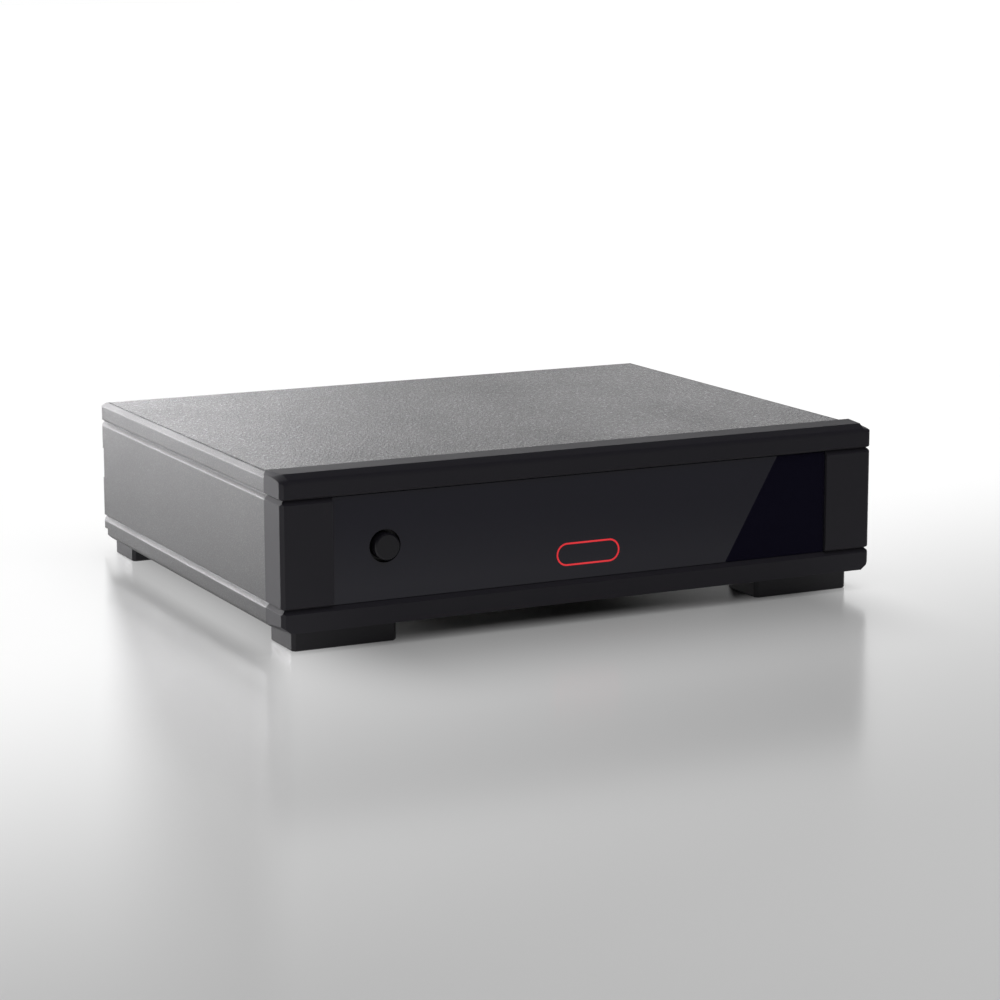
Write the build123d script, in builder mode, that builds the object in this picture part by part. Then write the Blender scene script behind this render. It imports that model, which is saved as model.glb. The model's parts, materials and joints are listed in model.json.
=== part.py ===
from build123d import *
import os

# A half-width phono preamp in a low hi-fi case, in millimetres.
# +X is to the right seen from the front, the front faces -Y and +Z is up.
# The origin is on the surface that the feet stand on, at the centre of the
# whole part seen from above.

# ------------------------------------------------------------------ case sizes
case_width = 180.0
case_depth = 143.0
foot_height = 6.0
base_tier = 6.2
middle_tier = 28.95
lid_tier = 5.85
button_proud = 0.85
ground_stud_out = 11.5
panel_inset = 1.0

# V grooves that part the three tiers, round the sides and across the front
groove_depth = 1.1
groove_over = 0.65
groove_under = 1.15

# side rails
lid_bevel_in = 1.2
lid_bevel_drop = 1.3
rim_flat = 0.15
base_bevel = 1.1
rail_wall = 3.6
rail_reach = 10.6
ledge_thickness = 2.2
flange_thickness = 2.6
channel_size = 5.6
channel_offset = 5.5
rear_top_round = 3.0
rear_top_drop = 2.3
rear_base_round = 7.0
rear_base_drop = 1.1
rear_corner_radius = 1.3
rear_notch_depth = 1.8
rear_notch_height = 9.0
rear_notch_below = 8.0
rear_toe_depth = 3.6
rear_toe_height = 2.8
lid_stud_from_seam = 20.0
lid_stud_from_rear = 25.0
rail_screw_from_seam = 28.0
rail_screw_from_rear = 28.0

# sheet parts
plate_thickness = 2.0
base_thickness = 1.6
rear_panel_thickness = 2.0
seam_gap = 0.25
lid_seam_gap = 0.4
slip_gap = 0.2

# front bezel
bezel_depth = 11.25
bezel_rise = 0.8
bezel_edge_chamfer = 1.0
bezel_round_depth = 3.2
bezel_round_drop = 2.4
bezel_nose_depth = 0.6
bezel_nose_drop = 1.3
bezel_end_depth = 6.0
bezel_end_drop = 2.1
bezel_end_nose_depth = 3.0
bezel_end_nose_drop = 1.8
bezel_end_rear_drop = 1.0
bezel_end_rear_in = 0.6
bezel_end_front_in = 2.5
bezel_foot_in = 2.65
bezel_foot_rise = 2.05
upright_width = 14.7
bezel_web = 2.5
bezel_wall = 2.6
end_pocket_wall = 3.0
lug_width = 14.0
lug_height = 4.0
lug_reach = 12.0
lug_from_side = 45.0
lug_screw_behind = 1.0

# fascia
fascia_recess = 0.95
fascia_thickness = 2.0
fascia_gap = 0.15

# power button
button_from_fascia_end = 15.0
button_z_above_groove = 14.6
button_hole = 8.95
cap_diameter = 7.2
cap_length = 8.0
cap_chamfer = 0.35
guide_clearance = 0.08
guide_wall = 1.5
guide_flange = 1.6
guide_flange_thickness = 1.2
rod_diameter = 3.0
rod_engagement = 3.0
fit_clearance = 0.02
button_travel = 2.5
switch_width = 14.0
switch_depth = 22.0
switch_height = 16.0
switch_face_y = 34.0
plunger_width = 4.0
plunger_out = 7.0
plunger_in = 9.0
plunger_clearance = 0.1
well_clearance = 0.5
switch_corner = 0.6
collar_set_back = 1.0
collar_diameter = 7.5
collar_thickness = 1.2
spring_wire = 0.5
spring_diameter = 6.2
spring_turns = 4.0
spring_clearance = 0.01

# indicator
lamp_width = 19.3
lamp_height = 6.4
lamp_line = 0.5
lamp_inlay = 0.6
lamp_z_above_groove = 7.1
guide_gap = 0.15
guide_head = 2.0
guide_stem_past_board = 2.0
led_radius = 1.5
led_length = 4.0
led_round = 1.2
led_holder = 5.0
led_clear = 0.3

# circuit board
board_side_gap = 13.0
board_thickness = 1.6
board_front_gap = 5.0
board_rear_gap = 0.6
standoff_height = 6.0
standoff_across = 5.5
standoff_inset = 6.0
board_corner = 1.5
board_screw_end_gap = 1.0

# phono sockets
socket_pitch = 19.0
input_from_side = 48.0
output_from_input = 46.0
socket_lift = 11.5
shell_radius = 4.15
shell_wall = 0.4
shell_out = 9.0
shell_flange_radius = 5.4
shell_flange = 1.0
shell_clearance = 0.15
contact_radius = 1.6
contact_wall = 0.5
contact_length = 7.0
contact_set_back = 1.5
block_depth = 12.0
block_height = 20.0
block_side = 7.5
block_chamfer = 0.8
block_screw_skin = 2.0
tower_set_back = 0.4
mouth_past_contact = 2.0
shell_chamfer = 0.2

# power inlet
inlet_from_side = 28.0
inlet_radius = 5.4
inlet_bore = 2.8
inlet_bore_depth = 9.0
inlet_out = 3.6
inlet_pin_radius = 1.05
inlet_pin_set_back = 0.8
inlet_pin_round = 0.7
inlet_block = 13.0
inlet_nut_thickness = 2.0
inlet_nut_across = 14.0

# ground terminal
ground_from_side = 21.0
stud_radius = 2.0
stud_collar_radius = 4.4
stud_collar = 1.2
stud_in = 5.5
stud_chamfer = 0.4
thumb_radius = 5.2
thumb_length = 6.0
thumb_clearance = 0.06
thumb_knurls = 24
thumb_knurl_depth = 0.35
thumb_chamfer = 0.5
washer_radius = 4.6
washer_thickness = 0.8
lock_nut_across = 7.0
lock_nut_thickness = 3.0

# board components
capacitor_radius = 5.0
capacitor_height = 16.0
capacitor_round = 0.5
capacitor_pitch = 13.0
capacitor_from_output = 46.0
capacitor_from_rear = 48.0
film_width = 7.5
film_depth = 13.0
film_height = 11.0
film_corner = 0.6
film_pitch = 11.0
film_from_output = 14.0
film_from_rear = 52.0
chip_width = 6.4
chip_length = 9.6
chip_height = 3.4
chip_lift = 0.5
chip_chamfer = 0.4
chip_left_from_input = 2.0
chip_right_from_output = 18.0
chip_from_rear = 78.0
leg_pitch = 2.54
leg_width = 0.6
leg_reach = 0.7
leg_height = 2.0
sink_from_output = 16.0
sink_from_rear = 85.0
sink_width = 24.0
sink_base = 2.0
sink_fin = 1.2
sink_fins = 6
sink_fin_reach = 10.0
sink_height = 20.0
regulator_width = 10.2
regulator_tab = 1.3
regulator_tab_height = 15.5
regulator_body = 3.2
regulator_body_height = 9.2
relay_width = 10.0
relay_depth = 20.0
relay_height = 10.0
relay_corner = 0.8
relay_from_output = 22.0
relay_from_rear = 40.0
resistor_radius = 1.2
resistor_length = 6.5
resistor_count = 8
resistor_pitch = 5.5
resistor_from_input = 8.0
resistor_gap = 8.2

# feet
foot_width = 30.0
foot_depth = 15.8
foot_side_inset = 4.6
foot_front_inset = 4.6
foot_rear_out = 3.0
foot_corner = 0.95
foot_edge = 0.3
foot_screw_shift = 3.4
foot_screw_skin = 1.2

# M3 screws and nuts
screw_radius = 1.5
screw_clearance = 0.05
screw_pass = 0.2
head_radius = 2.8
head_height = 1.8
drive_across = 2.0
drive_depth = 0.9
countersink_height = 1.3
screw_end_gap = 0.4
nut_across = 5.5
nut_thickness = 2.4
stud_tail = 0.5
rear_screw_reach = 7.0
head_chamfer = 0.3

# ------------------------------------------------------------------ worked out
half_width = case_width / 2
rear_reach = ground_stud_out - panel_inset
front_y = (button_proud - rear_reach - case_depth) / 2
rear_y = front_y + case_depth
seam_y = front_y + bezel_depth
base_z = foot_height
lower_groove_z = base_z + base_tier
upper_groove_z = lower_groove_z + middle_tier
top_z = upper_groove_z + lid_tier
bezel_top_z = top_z + bezel_rise
rim = lid_bevel_in + rim_flat
base_top_z = base_z + base_thickness
plate_under_z = top_z - plate_thickness
ledge_under_z = plate_under_z - ledge_thickness
flange_top_z = base_top_z + flange_thickness
upper_channel_z = upper_groove_z - channel_offset
lower_channel_z = lower_groove_z + channel_offset
channel_x = half_width - rail_wall - channel_size / 2
panel_outer_y = rear_y - panel_inset
panel_inner_y = panel_outer_y - rear_panel_thickness
fascia_y = front_y + fascia_recess
web_front_y = fascia_y + fascia_thickness
web_back_y = web_front_y + bezel_web
fascia_half = half_width - upright_width
lug_x = half_width - lug_from_side
button_x = button_from_fascia_end - fascia_half
button_z = lower_groove_z + button_z_above_groove
lamp_z = lower_groove_z + lamp_z_above_groove
board_width = case_width - 2 * board_side_gap
board_z = base_top_z + standoff_height
board_top_z = board_z + board_thickness
board_front_y = seam_y + board_front_gap
board_rear_y = panel_inner_y - board_rear_gap
board_depth = board_rear_y - board_front_y
input_x = half_width - input_from_side
output_x = input_x - output_from_input
inlet_x = inlet_from_side - half_width
ground_x = half_width - ground_from_side
socket_z = board_top_z + socket_lift
cap_front_y = front_y - button_proud
cap_back_y = cap_front_y + cap_length
guide_radius = cap_diameter / 2 + guide_clearance
guide_outer = guide_radius + guide_wall
switch_y = front_y + switch_face_y
plunger_front_y = switch_y - plunger_out
collar_y = plunger_front_y + collar_set_back
screw_x = half_width - rail_wall - (rail_reach - rail_wall) / 2
foot_x = half_width - foot_side_inset - foot_width / 2
foot_front_y = front_y + foot_front_inset + foot_depth / 2
foot_rear_y = rear_y + foot_rear_out - foot_depth / 2

os.makedirs("parts", exist_ok=True)


def keep(piece, name):
    """Label a finished piece and write it as its own STEP file."""
    piece.part.label = name
    export_step(piece.part, f"parts/{name}.step")


def facing_front(y):
    """A plane at this y for shapes drawn as (x, z); extruding goes to the front."""
    return Plane.XZ.offset(-y)


def facing_rear(y):
    """A plane at this y for shapes drawn as (-x, z); extruding goes to the rear."""
    return Plane((0, y, 0), x_dir=(-1, 0, 0), z_dir=(0, 1, 0))


# ------------------------------------------------- rounded rear end of the case
# The rails and both plates end inside this form: a shallow round at the rear
# top and rear bottom edges, and soft upright corners.
with BuildPart() as rear_envelope:
    with BuildSketch(Plane.YZ.offset(-half_width)):
        with BuildLine():
            Line((seam_y, base_z), (rear_y - rear_base_round, base_z))
            TangentArc((rear_y - rear_base_round, base_z), (rear_y, base_z + rear_base_drop), tangent=(1, 0))
            Line((rear_y, base_z + rear_base_drop), (rear_y, top_z - rear_top_drop))
            TangentArc((rear_y - rear_top_round, top_z), (rear_y, top_z - rear_top_drop), tangent=(1, 0))
            Line((rear_y - rear_top_round, top_z), (seam_y, top_z))
            Line((seam_y, top_z), (seam_y, base_z))
        make_face()
    extrude(amount=case_width)
    fillet(rear_envelope.edges().filter_by(Axis.Z).group_by(Axis.Y)[-1], rear_corner_radius)


# ------------------------------------------------------------------ side rails
def flank(side):
    """Outer face of the case from the bottom up, with both V grooves, as (x, z) points."""
    points = [(half_width, base_z)]
    for groove_z in (lower_groove_z, upper_groove_z):
        points.append((half_width, groove_z - groove_under))
        points.append((half_width - groove_depth, groove_z))
        points.append((half_width, groove_z + groove_over))
    points.append((half_width, top_z))
    return [(side * x, z) for x, z in points]


def rail_profile(side):
    """Section of one rail: tiers outside, ledge, screw channels and flange inside."""
    outer = flank(side)
    outer[0:1] = [
        (side * (half_width - base_bevel - seam_gap), base_z),
        (side * (half_width - base_bevel), base_z),
        (side * half_width, base_z + base_bevel),
    ]
    outer[-1:] = [
        (side * half_width, top_z - lid_bevel_drop),
        (side * (half_width - lid_bevel_in), top_z),
        (side * (half_width - rim), top_z),
    ]
    wall_x = half_width - rail_wall
    ledge_x = half_width - rail_reach
    step_x = half_width - base_bevel - seam_gap
    inner = [
        (half_width - rim, plate_under_z),
        (ledge_x, plate_under_z),
        (ledge_x, ledge_under_z),
        (wall_x, ledge_under_z),
    ]
    for channel_z in (upper_channel_z, lower_channel_z):
        inner.append((wall_x, channel_z + channel_size / 2))
        inner.append((wall_x - channel_size, channel_z + channel_size / 2))
        inner.append((wall_x - channel_size, channel_z - channel_size / 2))
        inner.append((wall_x, channel_z - channel_size / 2))
    inner.extend([(wall_x, flange_top_z), (ledge_x, flange_top_z)])
    inner.extend([(ledge_x, base_top_z), (step_x, base_top_z)])
    return outer + [(side * x, z) for x, z in inner]


lid_stud_ys = (seam_y + lid_stud_from_seam, rear_y - lid_stud_from_rear)
rail_screw_ys = (seam_y + rail_screw_from_seam, rear_y - rail_screw_from_rear)

for side, rail_name in ((-1, "side_rail_left"), (1, "side_rail_right")):
    with BuildPart() as side_rail:
        with BuildSketch(facing_front(rear_y)):
            with BuildLine():
                Polyline(*rail_profile(side), close=True)
            make_face()
            with Locations((side * channel_x, upper_channel_z), (side * channel_x, lower_channel_z)):
                Circle(screw_radius + screw_clearance, mode=Mode.SUBTRACT)
        extrude(amount=rear_y - seam_y)
        add(rear_envelope.part, mode=Mode.INTERSECT)
        # the ledge, channels and flange stop short, so that the rear panel seats on them
        with BuildSketch(facing_front(rear_y)):
            with Locations((side * (half_width - rail_wall), base_top_z)):
                end_cut = (Align.MAX if side > 0 else Align.MIN, Align.MIN)
                Rectangle(rail_reach - rail_wall + slip_gap, plate_under_z - base_top_z, align=end_cut)
        extrude(amount=rear_y - panel_inner_y, mode=Mode.SUBTRACT)
        # shallow notch in the upright rear edge
        notch_z = upper_groove_z - rear_notch_below - rear_notch_height / 2
        with Locations((side * half_width, rear_y, notch_z)):
            Box(2 * rail_wall, 2 * rear_notch_depth, rear_notch_height, mode=Mode.SUBTRACT)
        # step cut out of the low rear corner
        with Locations((side * half_width, rear_y, base_z)):
            Box(2 * rail_wall, 2 * rear_toe_depth, 2 * rear_toe_height, mode=Mode.SUBTRACT)
        # plain holes for the lid studs, threaded holes for the base screws
        with BuildSketch(Plane.XY.offset(ledge_under_z)):
            with Locations(*[(side * screw_x, y) for y in lid_stud_ys]):
                Circle(screw_radius + screw_pass)
        extrude(amount=ledge_thickness, mode=Mode.SUBTRACT)
        with BuildSketch(Plane.XY.offset(base_top_z)):
            with Locations(*[(side * screw_x, y) for y in rail_screw_ys]):
                Circle(screw_radius + screw_clearance)
        extrude(amount=flange_thickness, mode=Mode.SUBTRACT)
    keep(side_rail, rail_name)

# ------------------------------------------------------------------- top plate
plate_width = case_width - 2 * (rim + lid_seam_gap)
plate_front_y = seam_y + slip_gap
lid_stud_places = [(side * screw_x, y) for side in (-1, 1) for y in lid_stud_ys]

with BuildPart() as top_plate:
    with BuildSketch(Plane.XY.offset(plate_under_z)):
        with Locations((0, (plate_front_y + rear_y) / 2)):
            Rectangle(plate_width, rear_y - plate_front_y)
    extrude(amount=plate_thickness)
    add(rear_envelope.part, mode=Mode.INTERSECT)
    with BuildSketch(Plane.XY.offset(plate_under_z)):
        with Locations(*lid_stud_places):
            Circle(screw_radius)
    extrude(amount=-(ledge_thickness + nut_thickness + stud_tail))
keep(top_plate, "top_plate")

with BuildPart() as lid_nuts:
    with BuildSketch(Plane.XY.offset(ledge_under_z)):
        with Locations(*lid_stud_places):
            RegularPolygon(nut_across / 2, 6, major_radius=False)
            Circle(screw_radius + screw_clearance, mode=Mode.SUBTRACT)
    extrude(amount=-nut_thickness)
keep(lid_nuts, "lid_nuts")

# ------------------------------------------------------------------ base plate
lug_screw_y = seam_y + lug_reach / 2 + lug_screw_behind
base_screw_places = [(side * screw_x, y) for side in (-1, 1) for y in rail_screw_ys]
base_screw_places += [(side * lug_x, lug_screw_y) for side in (-1, 1)]
foot_places = {
    "foot_front_left": (-foot_x, foot_front_y),
    "foot_front_right": (foot_x, foot_front_y),
    "foot_rear_left": (-foot_x, foot_rear_y),
    "foot_rear_right": (foot_x, foot_rear_y),
}
foot_screw_places = {
    name: (x, y + (foot_screw_shift if "front" in name else -foot_screw_shift))
    for name, (x, y) in foot_places.items()
}
base_width = case_width - 2 * (base_bevel + 2 * seam_gap)

with BuildPart() as base_plate:
    with BuildSketch(Plane.XY.offset(base_z)):
        with Locations((0, (plate_front_y + rear_y) / 2)):
            Rectangle(base_width, rear_y - plate_front_y)
        with Locations(*foot_screw_places.values()):
            Circle(screw_radius + screw_clearance, mode=Mode.SUBTRACT)
    extrude(amount=base_thickness)
    add(rear_envelope.part, mode=Mode.INTERSECT)
    with Locations(*[Plane((*place, base_z), z_dir=(0, 0, -1)) for place in base_screw_places]):
        CounterSinkHole(screw_radius + screw_pass, head_radius + screw_pass, depth=base_thickness)
keep(base_plate, "base_plate")


# countersunk screws, flush with the underside
with BuildPart() as base_screws:
    with BuildSketch(Plane.XY.offset(base_z)):
        with Locations(*base_screw_places):
            Circle(screw_radius)
    extrude(amount=base_thickness + flange_thickness - screw_end_gap)
    with Locations(*[(*place, base_z) for place in base_screw_places]):
        Cone(head_radius, screw_radius, countersink_height, align=(Align.CENTER, Align.CENTER, Align.MIN))
    with BuildSketch(Plane.XY.offset(base_z)):
        with Locations(*base_screw_places):
            RegularPolygon(drive_across / 2, 6, major_radius=False)
    extrude(amount=drive_depth, mode=Mode.SUBTRACT)
keep(base_screws, "base_screws")

# ------------------------------------------------------------------------ feet
foot_screw_seat = foot_height - foot_screw_skin

for foot_name, foot_place in foot_places.items():
    with BuildPart() as foot:
        with BuildSketch():
            with Locations(foot_place):
                foot_outline = Rectangle(foot_width, foot_depth)
            chamfer(foot_outline.vertices(), foot_corner)
        extrude(amount=foot_height)
        chamfer(foot.faces().sort_by(Axis.Z)[0].edges(), foot_edge)
        with BuildSketch():
            with Locations(foot_screw_places[foot_name]):
                Circle(screw_radius + screw_pass)
        extrude(amount=foot_height, mode=Mode.SUBTRACT)
        with BuildSketch():
            with Locations(foot_screw_places[foot_name]):
                Circle(head_radius + screw_pass)
        extrude(amount=foot_screw_seat, mode=Mode.SUBTRACT)
    keep(foot, foot_name)

# pan-head screws that hold the feet from below, with their heads sunk in the feet
with BuildPart() as foot_screws:
    with BuildSketch(Plane.XY.offset(foot_screw_seat)):
        with Locations(*foot_screw_places.values()):
            Circle(screw_radius)
    extrude(amount=foot_screw_skin + base_thickness + flange_thickness)
    with BuildSketch(Plane.XY.offset(foot_screw_seat)):
        with Locations(*foot_screw_places.values()):
            Circle(head_radius)
    extrude(amount=-head_height)
    with BuildSketch(Plane.XY.offset(foot_screw_seat - head_height)):
        with Locations(*foot_screw_places.values()):
            RegularPolygon(drive_across / 2, 6, major_radius=False)
    extrude(amount=drive_depth, mode=Mode.SUBTRACT)
keep(foot_screws, "foot_screws")


# ---------------------------------------------------------------- front bezel
def bezel_plane(side, front_in, rear_in):
    """Upright plane through the bezel, set in from its end by these amounts."""
    along = Vector(side * (front_in - rear_in), bezel_depth, 0)
    return Plane(
        (side * (half_width - front_in), front_y, 0), x_dir=along, z_dir=(along.Y, -along.X, 0)
    )


def lid_tier_section(plane, depth, top, brow, nose):
    """Side view of the bezel's lid tier: a straight brow falls to the front, then a round nose.

    Both are (depth, drop) pairs, and the brow's size includes the nose.
    """
    brow_depth, brow_drop = brow
    nose_depth, nose_drop = nose
    slope_drop = brow_drop - nose_drop
    meeting_drop = slope_drop * brow_depth / (brow_depth - nose_depth)
    with BuildSketch(plane, mode=Mode.PRIVATE) as section:
        with BuildLine():
            Line((0, upper_groove_z), (depth, upper_groove_z))
            Line((depth, upper_groove_z), (depth, top))
            Line((depth, top), (brow_depth, top))
            Line((brow_depth, top), (nose_depth, top - slope_drop))
            Bezier((nose_depth, top - slope_drop), (0, top - meeting_drop), (0, top - brow_drop))
            Line((0, top - brow_drop), (0, upper_groove_z))
        make_face()
    return section.sketch


def foot_cut_plane(side):
    """Slanted plane that widens the bezel's bottom chamfer towards the front."""
    corner = Vector(side * (half_width - bezel_foot_in), front_y, base_z)
    across = Vector(side * bezel_foot_in, 0, bezel_foot_rise)
    along = Vector(side * (bezel_foot_in - base_bevel), bezel_depth, 0)
    return Plane(corner, x_dir=across, z_dir=across.cross(along) * side)


# the flat of the top is cut in at each end, more at the front than at the rear
end_slant = Vector(bezel_end_front_in - bezel_end_rear_in, bezel_depth, 0).length
slant_stretch = end_slant / bezel_depth

with BuildPart() as front_bezel:
    # lid tier between its two slanted ends
    add(
        lid_tier_section(
            bezel_plane(-1, 0, 0),
            bezel_depth,
            bezel_top_z,
            (bezel_round_depth, bezel_round_drop),
            (bezel_nose_depth, bezel_nose_drop),
        )
    )
    extrude(amount=case_width, dir=(1, 0, 0))
    for side, kept in ((-1, Keep.TOP), (1, Keep.BOTTOM)):
        split(bisect_by=bezel_plane(side, bezel_end_front_in, bezel_end_rear_in), keep=kept)
    # its ends, whose top edge falls and sweeps round into the front
    for side in (-1, 1):
        add(
            lid_tier_section(
                bezel_plane(side, bezel_end_front_in, bezel_end_rear_in),
                end_slant,
                bezel_top_z,
                (bezel_round_depth * slant_stretch, bezel_round_drop),
                (bezel_nose_depth * slant_stretch, bezel_nose_drop),
            )
        )
        add(
            lid_tier_section(
                bezel_plane(side, 0, 0),
                bezel_depth,
                bezel_top_z - bezel_end_rear_drop,
                (bezel_end_depth, bezel_end_drop),
                (bezel_end_nose_depth, bezel_end_nose_drop),
            )
        )
        loft(ruled=True)
    # middle and base tiers
    with BuildSketch(facing_front(seam_y)):
        with BuildLine():
            Polyline(
                (-half_width + base_bevel, base_z),
                (half_width - base_bevel, base_z),
                (half_width, base_z + base_bevel),
                (half_width, upper_groove_z),
                (-half_width, upper_groove_z),
                (-half_width, base_z + base_bevel),
                close=True,
            )
        make_face()
    extrude(amount=bezel_depth)
    for side in (-1, 1):
        split(bisect_by=foot_cut_plane(side), keep=Keep.TOP)
    # V grooves round the sides and across the front
    for groove_z in (lower_groove_z, upper_groove_z):
        for side in (-1, 1):
            with BuildSketch(facing_front(seam_y)):
                with BuildLine():
                    Polyline(
                        (side * half_width, groove_z - groove_under),
                        (side * (half_width - groove_depth), groove_z),
                        (side * half_width, groove_z + groove_over),
                        close=True,
                    )
                make_face()
            extrude(amount=bezel_depth, mode=Mode.SUBTRACT)
        with BuildSketch(Plane.YZ.offset(-half_width)):
            with BuildLine():
                Polyline(
                    (front_y, groove_z - groove_under),
                    (front_y + groove_depth, groove_z),
                    (front_y, groove_z + groove_over),
                    close=True,
                )
            make_face()
        extrude(amount=case_width, mode=Mode.SUBTRACT)
    # upright front corners
    for side in (-1, 1):
        with BuildSketch():
            with BuildLine():
                Polyline(
                    (side * half_width, front_y),
                    (side * (half_width - bezel_edge_chamfer), front_y),
                    (side * half_width, front_y + bezel_edge_chamfer),
                    close=True,
                )
            make_face()
        extrude(amount=bezel_top_z, mode=Mode.SUBTRACT)
    # recess that holds the fascia, between the grooves
    with BuildSketch(facing_front(web_front_y)):
        with Locations((0, (lower_groove_z + upper_groove_z) / 2)):
            Rectangle(2 * fascia_half, middle_tier)
    extrude(amount=fascia_recess + fascia_thickness, mode=Mode.SUBTRACT)
    # hollow back: one wide pocket behind the web and one in each upright
    pocket_low = base_z + bezel_wall
    pocket_high = plate_under_z - bezel_wall / 2
    end_pocket_x = (fascia_half + bezel_wall + half_width - end_pocket_wall) / 2
    end_pocket_width = half_width - end_pocket_wall - fascia_half - bezel_wall
    with BuildSketch(facing_front(seam_y)):
        with Locations((0, (pocket_low + pocket_high) / 2)):
            Rectangle(2 * fascia_half, pocket_high - pocket_low)
        with Locations((-end_pocket_x, button_z), (end_pocket_x, button_z)):
            Rectangle(end_pocket_width, middle_tier - bezel_wall)
    extrude(amount=seam_y - web_back_y, mode=Mode.SUBTRACT)
    # holes in the web for the button guide and the lamp's light guide
    with BuildSketch(facing_front(web_back_y)):
        with Locations((button_x, button_z)):
            Circle(guide_outer)
        with Locations((0, lamp_z)):
            SlotOverall(lamp_width + 2 * guide_gap, lamp_height + 2 * guide_gap)
    extrude(amount=bezel_web, mode=Mode.SUBTRACT)
    # lugs: the lower pair is screwed through the base, the upper pair carries the plate's edge
    for lug_z in (base_top_z, plate_under_z - lug_height):
        with BuildSketch(Plane.XY.offset(lug_z)):
            with Locations(*[(side * lug_x, (web_back_y + seam_y + lug_reach) / 2) for side in (-1, 1)]):
                Rectangle(lug_width, seam_y + lug_reach - web_back_y)
        extrude(amount=lug_height)
    with BuildSketch(Plane.XY.offset(base_top_z)):
        with Locations(*[(side * lug_x, lug_screw_y) for side in (-1, 1)]):
            Circle(screw_radius + screw_clearance)
    extrude(amount=lug_height, mode=Mode.SUBTRACT)
keep(front_bezel, "front_bezel")

# ---------------------------------------------------------------------- fascia
with BuildPart() as fascia_panel:
    with BuildSketch(facing_front(web_front_y)):
        with Locations((0, (lower_groove_z + upper_groove_z) / 2)):
            Rectangle(2 * (fascia_half - fascia_gap), middle_tier - 2 * fascia_gap)
        with Locations((button_x, button_z)):
            Circle(button_hole / 2, mode=Mode.SUBTRACT)
    extrude(amount=fascia_thickness)
    # engraved ring for the lamp's inlay
    with BuildSketch(facing_front(fascia_y + lamp_inlay)):
        with Locations((0, lamp_z)):
            SlotOverall(lamp_width, lamp_height)
            SlotOverall(lamp_width - 2 * lamp_line, lamp_height - 2 * lamp_line, mode=Mode.SUBTRACT)
    extrude(amount=lamp_inlay, mode=Mode.SUBTRACT)
keep(fascia_panel, "fascia_panel")

# ------------------------------------------------------------------------ lamp
with BuildPart() as lamp_window:
    with BuildSketch(facing_front(fascia_y + lamp_inlay)):
        with Locations((0, lamp_z)):
            SlotOverall(lamp_width - 2 * fit_clearance, lamp_height - 2 * fit_clearance)
            SlotOverall(
                lamp_width - 2 * lamp_line + 2 * fit_clearance,
                lamp_height - 2 * lamp_line + 2 * fit_clearance,
                mode=Mode.SUBTRACT,
            )
    extrude(amount=lamp_inlay)
keep(lamp_window, "lamp_window")

light_guide_back_y = board_front_y + guide_stem_past_board
guide_head_y = web_back_y + guide_head
with BuildPart() as lamp_light_guide:
    with BuildSketch(facing_front(guide_head_y)):
        with Locations((0, lamp_z)):
            SlotOverall(lamp_width, lamp_height)
    extrude(amount=guide_head_y - web_front_y)
    # the guide narrows to a round stem in front of the LED
    with BuildSketch(facing_front(light_guide_back_y)):
        with Locations((0, lamp_z)):
            Circle(lamp_height / 2)
    extrude(amount=light_guide_back_y - guide_head_y)
keep(lamp_light_guide, "lamp_light_guide")

led_back_y = light_guide_back_y + led_clear + led_length
with BuildPart() as lamp_led:
    with BuildSketch(facing_front(led_back_y)):
        with Locations((0, lamp_z)):
            Circle(led_radius)
    extrude(amount=led_length)
    fillet(lamp_led.faces().sort_by(Axis.Y)[0].edges(), led_round)
    # holder that stands on the board
    with BuildSketch(Plane.XY.offset(board_top_z)):
        with Locations((0, led_back_y + led_holder / 2)):
            Rectangle(led_holder, led_holder)
    extrude(amount=lamp_z + led_holder / 2 - board_top_z)
keep(lamp_led, "lamp_led")

# ---------------------------------------------------------------- power button
with BuildPart() as button_cap:
    with BuildSketch(facing_front(cap_back_y)):
        with Locations((button_x, button_z)):
            Circle(cap_diameter / 2)
    extrude(amount=cap_length)
    chamfer(button_cap.faces().sort_by(Axis.Y)[0].edges(), cap_chamfer)
    with BuildSketch(facing_front(cap_back_y)):
        with Locations((button_x, button_z)):
            Circle(rod_diameter / 2 + fit_clearance)
    extrude(amount=rod_engagement, mode=Mode.SUBTRACT)
keep(button_cap, "button_cap")

# a flanged sleeve in the bezel's web, with its flange behind the web
with BuildPart() as button_guide:
    with BuildSketch(facing_front(web_back_y)):
        with Locations((button_x, button_z)):
            Circle(guide_outer - fit_clearance)
    extrude(amount=bezel_web)
    with BuildSketch(facing_front(web_back_y + guide_flange_thickness)):
        with Locations((button_x, button_z)):
            Circle(guide_outer + guide_flange)
    extrude(amount=guide_flange_thickness)
    with BuildSketch(facing_front(web_back_y + guide_flange_thickness)):
        with Locations((button_x, button_z)):
            Circle(guide_radius)
    extrude(amount=bezel_web + guide_flange_thickness, mode=Mode.SUBTRACT)
keep(button_guide, "button_guide")

with BuildPart() as push_rod:
    with BuildSketch(facing_front(plunger_front_y)):
        with Locations((button_x, button_z)):
            Circle(rod_diameter / 2)
    extrude(amount=plunger_front_y - cap_back_y + rod_engagement)
keep(push_rod, "push_rod")

well_depth = plunger_in + button_travel + well_clearance
with BuildPart() as power_switch:
    with BuildSketch(Plane.XY.offset(board_top_z)):
        with Locations((button_x, switch_y + switch_depth / 2)):
            Rectangle(switch_width, switch_depth)
    extrude(amount=switch_height)
    chamfer(power_switch.edges().filter_by(Axis.Z), switch_corner)
    # square well that the plunger slides in, deep enough for its travel
    with BuildSketch(facing_front(switch_y + well_depth)):
        with Locations((button_x, button_z)):
            Rectangle(plunger_width + 2 * plunger_clearance, plunger_width + 2 * plunger_clearance)
    extrude(amount=well_depth, mode=Mode.SUBTRACT)
keep(power_switch, "power_switch")

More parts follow.
